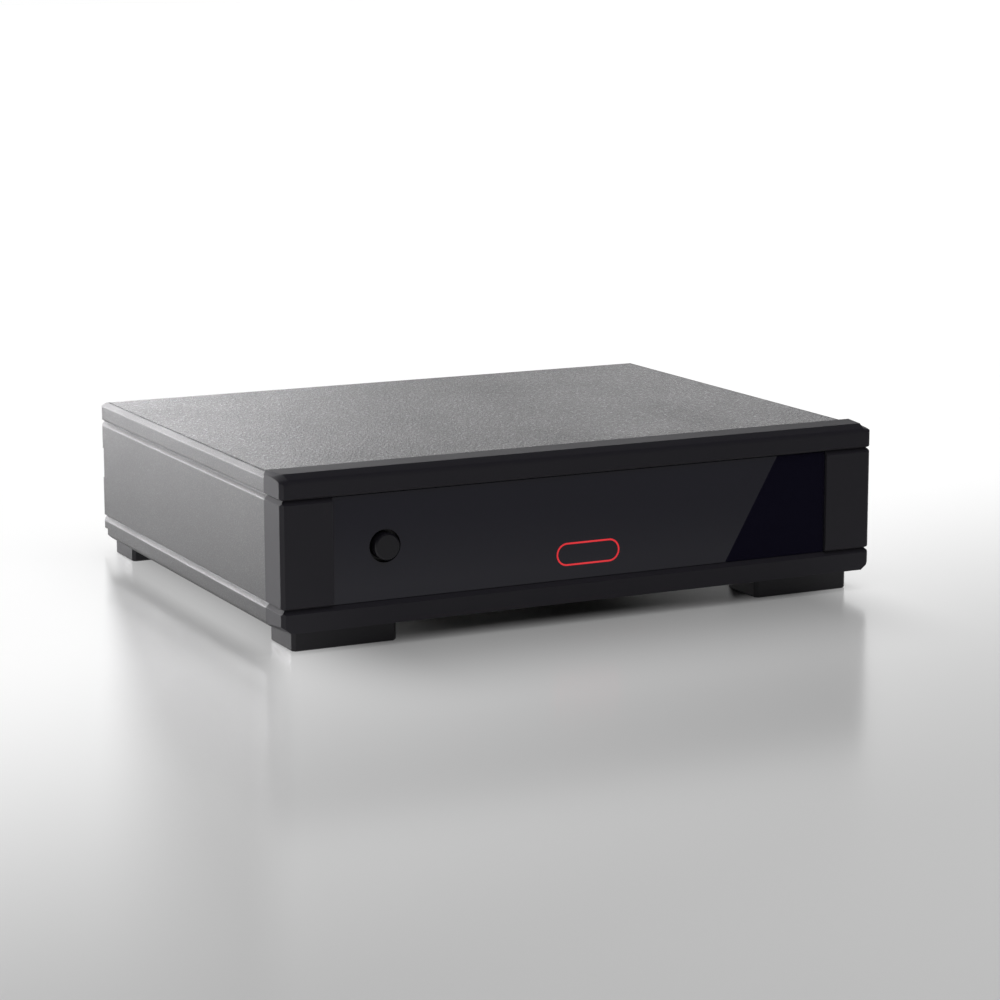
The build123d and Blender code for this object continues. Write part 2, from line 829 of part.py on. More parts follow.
with BuildPart() as switch_plunger:
    with BuildSketch(facing_front(switch_y + plunger_in)):
        with Locations((button_x, button_z)):
            Rectangle(plunger_width, plunger_width)
    extrude(amount=plunger_in + plunger_out)
    with BuildSketch(facing_front(collar_y + collar_thickness)):
        with Locations((button_x, button_z)):
            Circle(collar_diameter / 2)
    extrude(amount=collar_thickness)
keep(switch_plunger, "switch_plunger")

# return spring round the plunger, between its collar and the switch's face
spring_room = switch_y - collar_y - collar_thickness
spring_length = spring_room - spring_wire - 2 * spring_clearance
spring_pitch = spring_length / spring_turns
spring_path = Helix(spring_pitch, spring_length, spring_diameter / 2)
spring_start = Plane(spring_path @ 0, z_dir=spring_path % 0)
with BuildPart() as spring_coil:
    with BuildSketch(spring_start):
        Circle(spring_wire / 2)
    sweep(path=spring_path)
spring_frame = Plane((button_x, switch_y - spring_clearance - spring_wire / 2, button_z), z_dir=(0, -1, 0))
with BuildPart() as switch_spring:
    add(spring_frame * spring_coil.part)
keep(switch_spring, "switch_spring")

# ------------------------------------------------------------------ rear panel
socket_places = {
    "input_right": input_x - socket_pitch / 2,
    "input_left": input_x + socket_pitch / 2,
    "output_right": output_x - socket_pitch / 2,
    "output_left": output_x + socket_pitch / 2,
}
block_screw_places = [(input_x, socket_z), (output_x, socket_z)]
panel_width = case_width - 2 * (rail_wall + slip_gap)
panel_low_z = base_top_z + slip_gap
panel_high_z = plate_under_z - slip_gap
panel_screw_places = [(side * channel_x, z) for side in (-1, 1) for z in (lower_channel_z, upper_channel_z)]

with BuildPart() as rear_panel:
    with BuildSketch(facing_front(panel_outer_y)):
        with Locations((0, (panel_low_z + panel_high_z) / 2)):
            Rectangle(panel_width, panel_high_z - panel_low_z)
        with Locations(*[(x, socket_z) for x in socket_places.values()]):
            Circle(shell_radius + shell_clearance, mode=Mode.SUBTRACT)
        with Locations((inlet_x, socket_z)):
            Circle(inlet_radius + shell_clearance, mode=Mode.SUBTRACT)
        with Locations((ground_x, socket_z)):
            Circle(stud_radius + screw_clearance, mode=Mode.SUBTRACT)
        with Locations(*panel_screw_places, *block_screw_places):
            Circle(screw_radius + screw_pass, mode=Mode.SUBTRACT)
    extrude(amount=rear_panel_thickness)
keep(rear_panel, "rear_panel")


def rear_screws(places, length):
    """Pan-head hex-drive screws driven in from behind the rear panel."""
    flipped = [(-x, z) for x, z in places]
    with BuildPart() as screws:
        with BuildSketch(facing_rear(panel_outer_y)):
            with Locations(*flipped):
                Circle(screw_radius)
        extrude(amount=-length)
        with BuildSketch(facing_rear(panel_outer_y)):
            with Locations(*flipped):
                Circle(head_radius)
        extrude(amount=head_height)
        chamfer(screws.faces().group_by(Axis.Y)[-1].edges(), head_chamfer)
        with BuildSketch(facing_rear(panel_outer_y + head_height)):
            with Locations(*flipped):
                RegularPolygon(drive_across / 2, 6, major_radius=False)
        extrude(amount=-drive_depth, mode=Mode.SUBTRACT)
    return screws


rear_screw_length = rear_panel_thickness + rear_screw_reach
keep(rear_screws(panel_screw_places, rear_screw_length), "rear_panel_screws")
keep(rear_screws(block_screw_places, rear_screw_length), "socket_block_screws")

# --------------------------------------------------------------- phono sockets
tower_radius = shell_radius - shell_wall
shell_end_y = panel_outer_y + shell_out
tower_end_y = shell_end_y - tower_set_back

for block_name, block_x in (("input_socket_block", input_x), ("output_socket_block", output_x)):
    tower_places = [(block_x + side * socket_pitch / 2, socket_z) for side in (-1, 1)]
    with BuildPart() as socket_block:
        with BuildSketch(Plane.XY.offset(board_top_z)):
            with Locations((block_x, panel_inner_y - block_depth / 2)):
                Rectangle(socket_pitch + 2 * block_side, block_depth)
        extrude(amount=block_height)
        chamfer(socket_block.edges().filter_by(Axis.Z).group_by(Axis.Y)[0], block_chamfer)
        # insulating towers that carry the shells
        with BuildSketch(facing_front(tower_end_y)):
            with Locations(*tower_places):
                Circle(tower_radius)
        extrude(amount=tower_end_y - panel_inner_y)
        # mouth of each socket, and the wider hole that holds its contact
        with BuildSketch(facing_front(shell_end_y)):
            with Locations(*tower_places):
                Circle(contact_radius)
        extrude(amount=contact_set_back + contact_length + mouth_past_contact, mode=Mode.SUBTRACT)
        with BuildSketch(facing_front(shell_end_y - contact_set_back)):
            with Locations(*tower_places):
                Circle(contact_radius + contact_wall + fit_clearance)
        extrude(amount=contact_length, mode=Mode.SUBTRACT)
        # threaded hole for the panel screw
        with BuildSketch(facing_front(panel_inner_y)):
            with Locations((block_x, socket_z)):
                Circle(screw_radius + screw_clearance)
        extrude(amount=block_depth - block_screw_skin, mode=Mode.SUBTRACT)
    keep(socket_block, block_name)

for socket_name, socket_x in socket_places.items():
    with BuildPart() as socket_shell:
        with BuildSketch(facing_front(shell_end_y)):
            with Locations((socket_x, socket_z)):
                Circle(shell_radius)
        extrude(amount=shell_end_y - panel_inner_y - fit_clearance)
        with BuildSketch(facing_front(panel_outer_y + shell_flange + fit_clearance)):
            with Locations((socket_x, socket_z)):
                Circle(shell_flange_radius)
        extrude(amount=shell_flange)
        chamfer(socket_shell.faces().sort_by(Axis.Y)[-1].edges(), shell_chamfer)
        with BuildSketch(facing_front(shell_end_y)):
            with Locations((socket_x, socket_z)):
                Circle(tower_radius + fit_clearance)
        extrude(amount=shell_end_y - panel_inner_y, mode=Mode.SUBTRACT)
    keep(socket_shell, f"{socket_name}_shell")

    with BuildPart() as socket_contact:
        with BuildSketch(facing_front(shell_end_y - contact_set_back)):
            with Locations((socket_x, socket_z)):
                Circle(contact_radius + contact_wall)
                Circle(contact_radius, mode=Mode.SUBTRACT)
        extrude(amount=contact_length)
    keep(socket_contact, f"{socket_name}_contact")

# ----------------------------------------------------------------- power inlet
inlet_end_y = panel_outer_y + inlet_out
with BuildPart() as dc_inlet:
    with BuildSketch(facing_front(inlet_end_y)):
        with Locations((inlet_x, socket_z)):
            Circle(inlet_radius)
    extrude(amount=inlet_end_y - panel_inner_y)
    with BuildSketch(facing_front(panel_inner_y)):
        with Locations((inlet_x, (board_top_z + socket_z + inlet_block / 2) / 2)):
            Rectangle(inlet_block, socket_z + inlet_block / 2 - board_top_z)
    extrude(amount=inlet_block)
    with BuildSketch(facing_front(inlet_end_y)):
        with Locations((inlet_x, socket_z)):
            Circle(inlet_bore)
    extrude(amount=inlet_bore_depth, mode=Mode.SUBTRACT)
keep(dc_inlet, "dc_inlet")

with BuildPart() as dc_inlet_pin:
    with BuildSketch(facing_front(inlet_end_y - inlet_pin_set_back)):
        with Locations((inlet_x, socket_z)):
            Circle(inlet_pin_radius)
    extrude(amount=inlet_bore_depth - inlet_pin_set_back)
    fillet(dc_inlet_pin.faces().sort_by(Axis.Y)[-1].edges(), inlet_pin_round)
keep(dc_inlet_pin, "dc_inlet_pin")

with BuildPart() as dc_inlet_nut:
    with BuildSketch(facing_front(panel_outer_y + inlet_nut_thickness)):
        with Locations((inlet_x, socket_z)):
            RegularPolygon(inlet_nut_across / 2, 6, major_radius=False)
            Circle(inlet_radius + screw_clearance, mode=Mode.SUBTRACT)
    extrude(amount=inlet_nut_thickness)
keep(dc_inlet_nut, "dc_inlet_nut")

# ------------------------------------------------------------- ground terminal
stud_end_y = panel_outer_y + ground_stud_out
washer_y = panel_outer_y + stud_collar
thumb_y = washer_y + washer_thickness

with BuildPart() as ground_stud:
    with BuildSketch(facing_front(stud_end_y)):
        with Locations((ground_x, socket_z)):
            Circle(stud_radius)
    extrude(amount=stud_end_y - panel_inner_y + stud_in)
    chamfer(ground_stud.faces().sort_by(Axis.Y)[-1].edges(), stud_chamfer)
    with BuildSketch(facing_front(washer_y)):
        with Locations((ground_x, socket_z)):
            Circle(stud_collar_radius)
    extrude(amount=stud_collar)
keep(ground_stud, "ground_stud")

with BuildPart() as ground_lock_nut:
    with BuildSketch(facing_front(panel_inner_y)):
        with Locations((ground_x, socket_z)):
            RegularPolygon(lock_nut_across / 2, 6, major_radius=False)
            Circle(stud_radius + screw_clearance, mode=Mode.SUBTRACT)
    extrude(amount=lock_nut_thickness)
keep(ground_lock_nut, "ground_lock_nut")

with BuildPart() as ground_washer:
    with BuildSketch(facing_front(washer_y + washer_thickness)):
        with Locations((ground_x, socket_z)):
            Circle(washer_radius)
            Circle(stud_radius + thumb_clearance, mode=Mode.SUBTRACT)
    extrude(amount=washer_thickness)
keep(ground_washer, "ground_washer")

with BuildPart() as ground_thumb_nut:
    with BuildSketch(facing_front(thumb_y + thumb_length)):
        with Locations((ground_x, socket_z)):
            Circle(thumb_radius)
    extrude(amount=thumb_length)
    chamfer(ground_thumb_nut.edges(), thumb_chamfer)
    with BuildSketch(facing_front(thumb_y + thumb_length)):
        with Locations((ground_x, socket_z)):
            Circle(stud_radius + thumb_clearance)
            with PolarLocations(thumb_radius, thumb_knurls):
                Rectangle(2 * thumb_knurl_depth, thumb_knurl_depth)
    extrude(amount=thumb_length, mode=Mode.SUBTRACT)
keep(ground_thumb_nut, "ground_thumb_nut")

# --------------------------------------------------------------- circuit board
board_hole_x = board_width / 2 - standoff_inset
board_hole_places = [
    (side * board_hole_x, y)
    for side in (-1, 1)
    for y in (board_front_y + standoff_inset, board_rear_y - block_depth - standoff_inset)
]

with BuildPart() as main_board:
    with BuildSketch(Plane.XY.offset(board_z)):
        with Locations((0, (board_front_y + board_rear_y) / 2)):
            RectangleRounded(board_width, board_depth, board_corner)
        with Locations(*board_hole_places):
            Circle(screw_radius + screw_pass, mode=Mode.SUBTRACT)
    extrude(amount=board_thickness)
keep(main_board, "main_board")

with BuildPart() as board_standoffs:
    with BuildSketch(Plane.XY.offset(base_top_z)):
        with Locations(*board_hole_places):
            RegularPolygon(standoff_across / 2, 6, major_radius=False)
            Circle(screw_radius + screw_clearance, mode=Mode.SUBTRACT)
    extrude(amount=standoff_height)
keep(board_standoffs, "board_standoffs")

with BuildPart() as board_screws:
    with BuildSketch(Plane.XY.offset(board_top_z)):
        with Locations(*board_hole_places):
            Circle(screw_radius)
    extrude(amount=-(board_thickness + standoff_height - board_screw_end_gap))
    with BuildSketch(Plane.XY.offset(board_top_z)):
        with Locations(*board_hole_places):
            Circle(head_radius)
    extrude(amount=head_height)
    with BuildSketch(Plane.XY.offset(board_top_z + head_height)):
        with Locations(*board_hole_places):
            RegularPolygon(drive_across / 2, 6, major_radius=False)
    extrude(amount=-drive_depth, mode=Mode.SUBTRACT)
keep(board_screws, "board_screws")

# ------------------------------------------------------------------ components
capacitor_x = output_x - capacitor_from_output
capacitor_y = rear_y - capacitor_from_rear

for index in range(4):
    column, row = index % 2, index // 2
    place = (capacitor_x + column * capacitor_pitch, capacitor_y - row * capacitor_pitch)
    with BuildPart() as reservoir_capacitor:
        with BuildSketch(Plane.XY.offset(board_top_z)):
            with Locations(place):
                Circle(capacitor_radius)
        extrude(amount=capacitor_height)
        fillet(reservoir_capacitor.faces().sort_by(Axis.Z)[-1].edges(), capacitor_round)
    keep(reservoir_capacitor, f"reservoir_capacitor_{index + 1}")

film_x = output_x + film_from_output

for index in range(4):
    with BuildPart() as film_capacitor:
        with BuildSketch(Plane.XY.offset(board_top_z)):
            with Locations((film_x + index * film_pitch, rear_y - film_from_rear)):
                RectangleRounded(film_width, film_depth, film_corner)
        extrude(amount=film_height)
    keep(film_capacitor, f"film_capacitor_{index + 1}")

chip_left_x = input_x - chip_left_from_input
chip_right_x = output_x + chip_right_from_output
chip_y = rear_y - chip_from_rear

for chip_name, chip_x in (("signal_chip_left", chip_left_x), ("signal_chip_right", chip_right_x)):
    with BuildPart() as signal_chip:
        with BuildSketch(Plane.XY.offset(board_top_z + chip_lift)):
            with Locations((chip_x, chip_y)):
                Rectangle(chip_width, chip_length)
        extrude(amount=chip_height)
        chamfer(signal_chip.edges().group_by(Axis.Z)[-1], chip_chamfer)
        with BuildSketch(Plane.XY.offset(board_top_z)):
            with Locations((chip_x, chip_y)):
                with GridLocations(chip_width + leg_reach, leg_pitch, 2, 4):
                    Rectangle(2 * leg_reach, leg_width)
        extrude(amount=leg_height)
    keep(signal_chip, chip_name)

sink_x = output_x - sink_from_output
sink_y = rear_y - sink_from_rear
sink_front_y = sink_y - sink_base / 2

with BuildPart() as regulator_heat_sink:
    with BuildSketch(Plane.XY.offset(board_top_z)):
        with Locations((sink_x, sink_y)):
            Rectangle(sink_width, sink_base)
        with Locations((sink_x, sink_y + sink_base / 2 + sink_fin_reach / 2)):
            with GridLocations((sink_width - sink_fin) / (sink_fins - 1), 1, sink_fins, 1):
                Rectangle(sink_fin, sink_fin_reach)
    extrude(amount=sink_height)
keep(regulator_heat_sink, "regulator_heat_sink")

# metal tab against the heat sink, with the moulded body in front of its lower part
with BuildPart() as regulator:
    with BuildSketch(Plane.XY.offset(board_top_z)):
        with Locations((sink_x, sink_front_y - regulator_tab / 2)):
            Rectangle(regulator_width, regulator_tab)
    extrude(amount=regulator_tab_height)
    with BuildSketch(Plane.XY.offset(board_top_z)):
        with Locations((sink_x, sink_front_y - regulator_tab - regulator_body / 2)):
            Rectangle(regulator_width, regulator_body)
    extrude(amount=regulator_body_height)
keep(regulator, "regulator")

with BuildPart() as output_relay:
    with BuildSketch(Plane.XY.offset(board_top_z)):
        with Locations((output_x - relay_from_output, rear_y - relay_from_rear)):
            RectangleRounded(relay_width, relay_depth, relay_corner)
    extrude(amount=relay_height)
keep(output_relay, "output_relay")

resistor_x = input_x - resistor_from_input
resistor_y = chip_y - chip_length / 2 - resistor_gap

with BuildPart() as board_resistors:
    with BuildSketch(facing_front(resistor_y)):
        with Locations((resistor_x, board_top_z + resistor_radius)):
            with GridLocations(resistor_pitch, 1, resistor_count, 1):
                Circle(resistor_radius)
    extrude(amount=resistor_length)
keep(board_resistors, "board_resistors")
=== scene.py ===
# %% [markdown]
# # A half-width phono preamp in a low hi-fi case
#
# The case is an extruded pair of side rails, a textured steel lid, a moulded
# front with a dark acrylic fascia, and a rear panel with phono sockets. Its
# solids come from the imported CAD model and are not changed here. This lesson
# gives each of them a finish, prints the rear panel, and sets up the studio.

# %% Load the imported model
import json
import math
import bmesh
import bpy
import numpy as np
from mathutils import Matrix, Vector


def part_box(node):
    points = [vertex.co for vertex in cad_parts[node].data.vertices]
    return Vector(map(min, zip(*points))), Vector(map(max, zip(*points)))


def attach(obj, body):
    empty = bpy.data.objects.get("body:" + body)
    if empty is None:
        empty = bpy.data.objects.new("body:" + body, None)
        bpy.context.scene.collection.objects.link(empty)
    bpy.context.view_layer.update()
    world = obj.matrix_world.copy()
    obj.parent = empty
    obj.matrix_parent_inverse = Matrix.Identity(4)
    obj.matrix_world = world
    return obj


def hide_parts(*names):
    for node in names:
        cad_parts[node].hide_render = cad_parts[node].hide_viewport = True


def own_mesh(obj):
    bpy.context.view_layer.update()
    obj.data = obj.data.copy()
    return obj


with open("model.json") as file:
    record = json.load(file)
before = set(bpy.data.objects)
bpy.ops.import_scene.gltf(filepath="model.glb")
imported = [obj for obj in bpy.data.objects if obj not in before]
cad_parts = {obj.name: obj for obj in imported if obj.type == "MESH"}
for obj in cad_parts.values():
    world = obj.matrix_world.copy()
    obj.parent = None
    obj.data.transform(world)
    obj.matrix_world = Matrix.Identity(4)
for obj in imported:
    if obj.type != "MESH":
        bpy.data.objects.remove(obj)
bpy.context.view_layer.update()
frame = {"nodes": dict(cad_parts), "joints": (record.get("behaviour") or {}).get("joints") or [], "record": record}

# %% [markdown]
# ## Camera
#
# A long lens from a little over the lid, turned to the left of the front, so
# that the front, the left rail and the lid all show. A long lens keeps the
# parallel edges of a small case nearly parallel, as catalogue pictures do.
# A Track To constraint could aim the camera, but it has no roll. Its turn, dip
# and roll are three rotations here, multiplied in that order.

# %% Camera
sensor_width = 36.0
lens_length = 106.83
camera_place = Vector((-0.36895, -0.77297, 0.18719))
camera_turn = math.radians(-26.129)
camera_dip = math.radians(-10.954)
camera_roll = math.radians(-0.139)
frame_shift = (0.00036, -0.0026)


def place_camera():
    """Put the camera at its place, looking along +Y, then turned, dipped and rolled."""
    camera = bpy.data.objects.new("studio_camera", bpy.data.cameras.new("studio_camera"))
    bpy.context.scene.collection.objects.link(camera)
    camera.data.sensor_width = sensor_width
    camera.data.lens = lens_length
    camera.data.shift_x = frame_shift[0]
    camera.data.shift_y = frame_shift[1]
    camera.data.clip_start = 0.01
    turn = Matrix.Rotation(camera_turn, 4, "Z")
    dip = Matrix.Rotation(math.pi / 2 + camera_dip, 4, "X")
    roll = Matrix.Rotation(camera_roll, 4, "Z")
    camera.matrix_world = Matrix.Translation(camera_place) @ turn @ dip @ roll
    bpy.context.scene.camera = camera
    return camera


camera = place_camera()
bpy.context.scene.view_settings.view_transform = "Standard"
print("camera", tuple(round(c, 3) for c in camera.location))

# %% [markdown]
# ## Shader maths as Python
#
# A finish is a small graph of nodes. Wiring it node by node hides the formula,
# so a `Wire` stands for one output socket and takes part in arithmetic: each
# operator adds the Math node that it names. Every other node comes from one
# method, which takes the node's type, its settings and its inputs.

# %% Wires and node graphs
# A Mix node keeps its factor and colour inputs, and its colour result, at these places.
mix_inputs = (0, 6, 7)
mix_result = 2

# Every finish that is made, by name.
finishes = {}


class Wire:
    """One output socket of a shader node that can be added, multiplied and compared."""

    def __init__(self, graph, socket):
        self.graph = graph
        self.socket = socket

    def maths(self, operation, *values):
        return self.graph.node("ShaderNodeMath", {"operation": operation}, *values)

    def output(self, name):
        return Wire(self.graph, self.socket.node.outputs[name])

    def __add__(self, other):
        return self.maths("ADD", self, other)

    def __radd__(self, other):
        return self.maths("ADD", other, self)

    def __sub__(self, other):
        return self.maths("SUBTRACT", self, other)

    def __rsub__(self, other):
        return self.maths("SUBTRACT", other, self)

    def __mul__(self, other):
        return self.maths("MULTIPLY", self, other)

    def __rmul__(self, other):
        return self.maths("MULTIPLY", other, self)

    def __truediv__(self, other):
        return self.maths("DIVIDE", self, other)

    def __abs__(self):
        return self.maths("ABSOLUTE", self)

    def __gt__(self, other):
        return self.maths("GREATER_THAN", self, other)

    def __lt__(self, other):
        return self.maths("LESS_THAN", self, other)


class Graph:
    """A node tree with one way to add a node, and one end that shows the result."""

    def __init__(self, tree, end_kind):
        self.tree = tree
        tree.nodes.clear()
        self.end = tree.nodes.new(end_kind)

    def show(self, look):
        """Send a shader's output to the end of the tree."""
        self.tree.links.new(look.socket, self.end.inputs["Surface"])

    def join(self, value, socket):
        """Link a wire to an input socket, or set the socket's own value."""
        if isinstance(value, Wire):
            self.tree.links.new(value.socket, socket)
        elif getattr(socket, "type", "") == "RGBA" and not isinstance(value, (int, float)):
            socket.default_value = (*value[:3], 1.0)
        else:
            socket.default_value = value

    def node(self, kind, settings=None, *values, take=0, **named):
        """Add a node: settings first, then its inputs in order or by name; returns output take."""
        added = self.tree.nodes.new(kind)
        for name, value in (settings or {}).items():
            if name == "stops":
                self.set_stops(added.color_ramp, value)
            else:
                setattr(added, name, value)
        for place, value in enumerate(values):
            self.join(value, added.inputs[place])
        for name, value in named.items():
            self.join(value, added.inputs[name.replace("_", " ")])
        return Wire(self, added.outputs[take])

    @staticmethod
    def set_stops(ramp, stops):
        """Give a colour ramp these (place, colour) stops, with a hard step at each."""
        ramp.interpolation = "CONSTANT"
        while len(ramp.elements) < len(stops):
            ramp.elements.new(1.0)
        for element, (place, colour) in zip(ramp.elements, stops):
            element.position = place
            element.color = (*colour, 1.0)

    def mix(self, share, first, second):
        """Colour between first and second."""
        mixed = self.node("ShaderNodeMix", {"data_type": "RGBA"}, take=mix_result)
        for place, value in zip(mix_inputs, (share, first, second)):
            self.join(value, mixed.socket.node.inputs[place])
        return mixed

    def tinted(self, level, colour):
        """This colour times a level, which may be above 1."""
        red, green, blue = [level * part for part in colour]
        return self.node("ShaderNodeCombineColor", None, red, green, blue)

    def between(self, value, low, high, to_low=0.0, to_high=1.0, curve="SMOOTHSTEP"):
        """Value carried smoothly from the range low..high to the range to_low..to_high."""
        settings = {"interpolation_type": curve, "clamp": True}
        return self.node("ShaderNodeMapRange", settings, value, low, high, to_low, to_high)

    def larger(self, first, second):
        """The larger of two values."""
        return self.node("ShaderNodeMath", {"operation": "MAXIMUM"}, first, second)


class Finish(Graph):
    """A material with its Principled shader and its place on the object, kept in finishes."""

    def __init__(self, name):
        self.material = bpy.data.materials.new(name)
        self.material.use_nodes = True
        super().__init__(self.material.node_tree, "ShaderNodeOutputMaterial")
        self.look = self.node("ShaderNodeBsdfPrincipled")
        self.shader = self.look.socket.node
        self.show(self.look)
        self.place = self.node("ShaderNodeTexCoord", take="Object")
        split = self.node("ShaderNodeSeparateXYZ", None, self.place)
        self.x, self.y, self.z = [split.output(axis) for axis in "XYZ"]
        finishes[name] = self

    def noise(self, size, detail=2.0, rough=0.5, stretch=None):
        """Noise whose lumps are about this many metres across, 0 to 1."""
        where = self.place
        if stretch:
            where = self.node("ShaderNodeVectorMath", {"operation": "MULTIPLY"}, self.place, stretch)
        named = {"Vector": where, "Scale": 1.0 / size, "Detail": detail, "Roughness": rough}
        return self.node("ShaderNodeTexNoise", None, **named)

    def soft_edges(self, radius):
        """The normal of a surface whose sharp edges are rounded by this radius."""
        return self.node("ShaderNodeBevel", {"samples": 8}, radius)

    def relief(self, height, depth, edge_radius=0.0):
        """Bump of this height map, depth metres high, over edges rounded by edge_radius."""
        named = {"Height": height, "Distance": depth}
        if edge_radius:
            named["Normal"] = self.soft_edges(edge_radius)
        return self.node("ShaderNodeBump", None, **named)

    def set(self, **named):
        """Set the shader's sockets by name, such as Base_Color or Roughness."""
        for name, value in named.items():
            self.join(value, self.shader.inputs[name.replace("_", " ")])


print("shader maths:", Wire.__name__, Graph.__name__, Finish.__name__)

# %% [markdown]
# ## Powder coat
#
# Powder coat is a thermoset paint that melts into a skin. The lid has the
# coarse, grained kind, and the rails and panels the fine satin kind. Displacing
# the mesh would take millions of faces for grains this fine, so their height
# goes through a Bump node. Light and shade on the grains are also painted into
# the colour: a painted highlight on their tops and painted shade in the hollows
# between them, because bump alone fades at a shallow angle.

# %% Grained and satin powder coat
paint_black = (0.05, 0.05, 0.052)
lid_grain = 0.0008
satin_grain = 0.00034


def powder_coat(name, grain, height, rough, edge_radius, hollow, top):
    """Grains of this size and height, black times hollow as painted shade between them and times top as a painted
    highlight on them.
    """
    paint = Finish(name)
    grains = paint.noise(grain, detail=2.0, rough=0.6)
    fine = paint.noise(grain * 0.35, detail=0.0)
    clouds = paint.noise(0.03, detail=3.0)
    tops = paint.between(grains, 0.5, 0.75)
    # Painted light: the black is scaled down between the grains as painted shade and up on their tops as a painted
    # highlight; the clouds then add random wear to that tone.
    shade = paint.mix(tops, [c * hollow for c in paint_black], [c * top for c in paint_black])
    wear_and_painted_grain_light = paint.mix(clouds * 0.25, shade, [c * 1.2 for c in paint_black])
    relief = paint.relief(grains + 0.35 * fine, height, edge_radius=edge_radius)
    roughness = rough + 0.12 * (clouds - 0.5) + 0.1 * (0.5 - tops)
    paint.set(Base_Color=wear_and_painted_grain_light, Roughness=roughness, Normal=relief, IOR=1.5)


# The last two numbers of each coat scale the black: painted shade between the grains and a painted highlight on
# their tops.
powder_coat("textured_powder_coat", lid_grain, 0.0008, 0.38, 0.0001, hollow=0.35, top=3.2)
powder_coat("satin_powder_coat", satin_grain, 0.00004, 0.42, 0.0005, hollow=0.7, top=1.5)
print("powder coats with grains of", lid_grain, "and", satin_grain, "m")

# %% [markdown]
# ## Moulded and rubbery blacks
#
# The front moulding, the button and the feet are black too, and differ from
# the paint by their finer grain and their gloss. The moulding carries a spark
# eroded texture, the feet are matt and slightly dusty. Each could be a graph
# of its own, but they differ only in numbers, so one function makes them all,
# and the plastics inside the case as well.

# %% Moulded blacks
def moulded(name, colour, grain, height, rough, edge_radius, dust=0.0, gloss=0.5):
    """Moulded plastic or rubber: fine even grain, and a little pale dust if asked for."""
    plastic = Finish(name)
    skin = plastic.noise(grain, detail=2.0)
    flow = plastic.noise(0.02, detail=2.0)
    base = plastic.mix(flow * 0.4, colour, [c * 1.3 for c in colour])
    dusty = plastic.mix(plastic.between(flow, 0.45, 0.8) * dust, base, (0.3, 0.3, 0.3))
    relief = plastic.relief(skin, height, edge_radius=edge_radius)
    plastic.set(Base_Color=dusty, Roughness=rough + 0.1 * (flow - 0.5), Normal=relief, IOR=1.48)
    plastic.set(Specular_IOR_Level=gloss)


moulded("bezel_plastic", (0.016, 0.0145, 0.0205), 0.00022, 0.000018, 0.75, 0.00012, gloss=0.75)
moulded("foot_rubber", (0.015, 0.0138, 0.0185), 0.0003, 0.00003, 0.5, 0.0003, dust=0.02)
moulded("button_plastic", (0.009, 0.0082, 0.0115), 0.0002, 0.00001, 0.34, 0.0002)
moulded("inner_plastic", (0.05, 0.05, 0.052), 0.0003, 0.00002, 0.45, 0.0001)
moulded("white_plastic", (0.8, 0.8, 0.78), 0.0003, 0.00001, 0.4, 0.0001, dust=0.1)
moulded("component_black", (0.03, 0.03, 0.03), 0.0002, 0.00002, 0.6, 0.0001, dust=0.05)
print("finishes so far", sorted(finishes))

# %% [markdown]
# ## Dark acrylic
#
# The fascia is polished acrylic, dark through and through. What one sees on it
# is nearly all reflection, so it stays very smooth, with a faint waviness and
# a few hairline wipes that only change the gloss. A glass shader would suit
# clear acrylic, but nothing shows through this one.

# %% Fascia acrylic
def dark_acrylic():
    """Polished black with a touch of violet, mirror-smooth but for its wipes."""
    acrylic = Finish("gloss_acrylic")
    waves = acrylic.noise(0.05, detail=1.0)
    wipes = acrylic.noise(0.0006, detail=2.0, stretch=(0.04, 1.0, 1.0))
    tint = acrylic.mix(waves * 0.5, (0.0098, 0.0088, 0.019), (0.012, 0.011, 0.022))
    relief = acrylic.relief(waves, 0.00001)
    gloss = 0.003 * acrylic.between(wipes, 0.6, 0.8)
    acrylic.set(Base_Color=tint, Roughness=gloss, Normal=relief, IOR=1.49)


dark_acrylic()
print("acrylic nodes", len(finishes["gloss_acrylic"].tree.nodes))

# %% [markdown]
# ## Red lamp
#
# The lamp is an inlay of red acrylic, lit from behind by an LED through a
# light guide. The light is a little stronger where the guide is nearest, so
# the glow falls off gently towards both ends. Tracing the LED's light through
# the guide would be slow and grainy, so the inlay shines by itself.

# %% Red lamp
glow_reach = 0.012


def red_lamp():
    """Red that shines by itself, brightest in the middle and falling off over glow_reach."""
    lamp = Finish("red_lamp")
    middle = 1.0 - lamp.between(abs(lamp.x), 0.0, glow_reach)
    grain = lamp.noise(0.0008)
    glow = lamp.mix(middle * 0.4 + 0.2 * grain, (0.75, 0.02, 0.03), (0.95, 0.05, 0.06))
    lamp.set(Base_Color=glow, Emission_Color=glow, Emission_Strength=0.55, Roughness=0.2)


red_lamp()
print("lamp nodes", len(finishes["red_lamp"].tree.nodes))

# %% [markdown]
# ## Metals
#
# The case's screws are blackened steel, nuts and standoffs are zinc plated, the
# DC inlet is nickel plated, and the sockets and the ground terminal are gold
# plated. Plating follows the tool marks beneath it, so each metal has fine
# lines in its gloss. One function serves them all, with a colour for each.

# %% Metals
def metal(name, colour, rough, marks, metallic=1.0):
    """Plated metal with fine tool marks of this size and a mottled gloss."""
    plate = Finish(name)
    lines = plate.noise(marks, detail=3.0, stretch=(1.0, 0.2, 1.0))
    stain = plate.noise(0.004, detail=3.0)
    tone = plate.mix(plate.between(stain, 0.4, 0.8) * 0.5, colour, [c * 0.75 for c in colour])
    relief = plate.relief(lines, 0.000004, edge_radius=0.00008)
    gloss = rough + 0.15 * (lines - 0.5) + 0.1 * (stain - 0.5)
    plate.set(Base_Color=tone, Roughness=gloss, Metallic=metallic, Normal=relief)


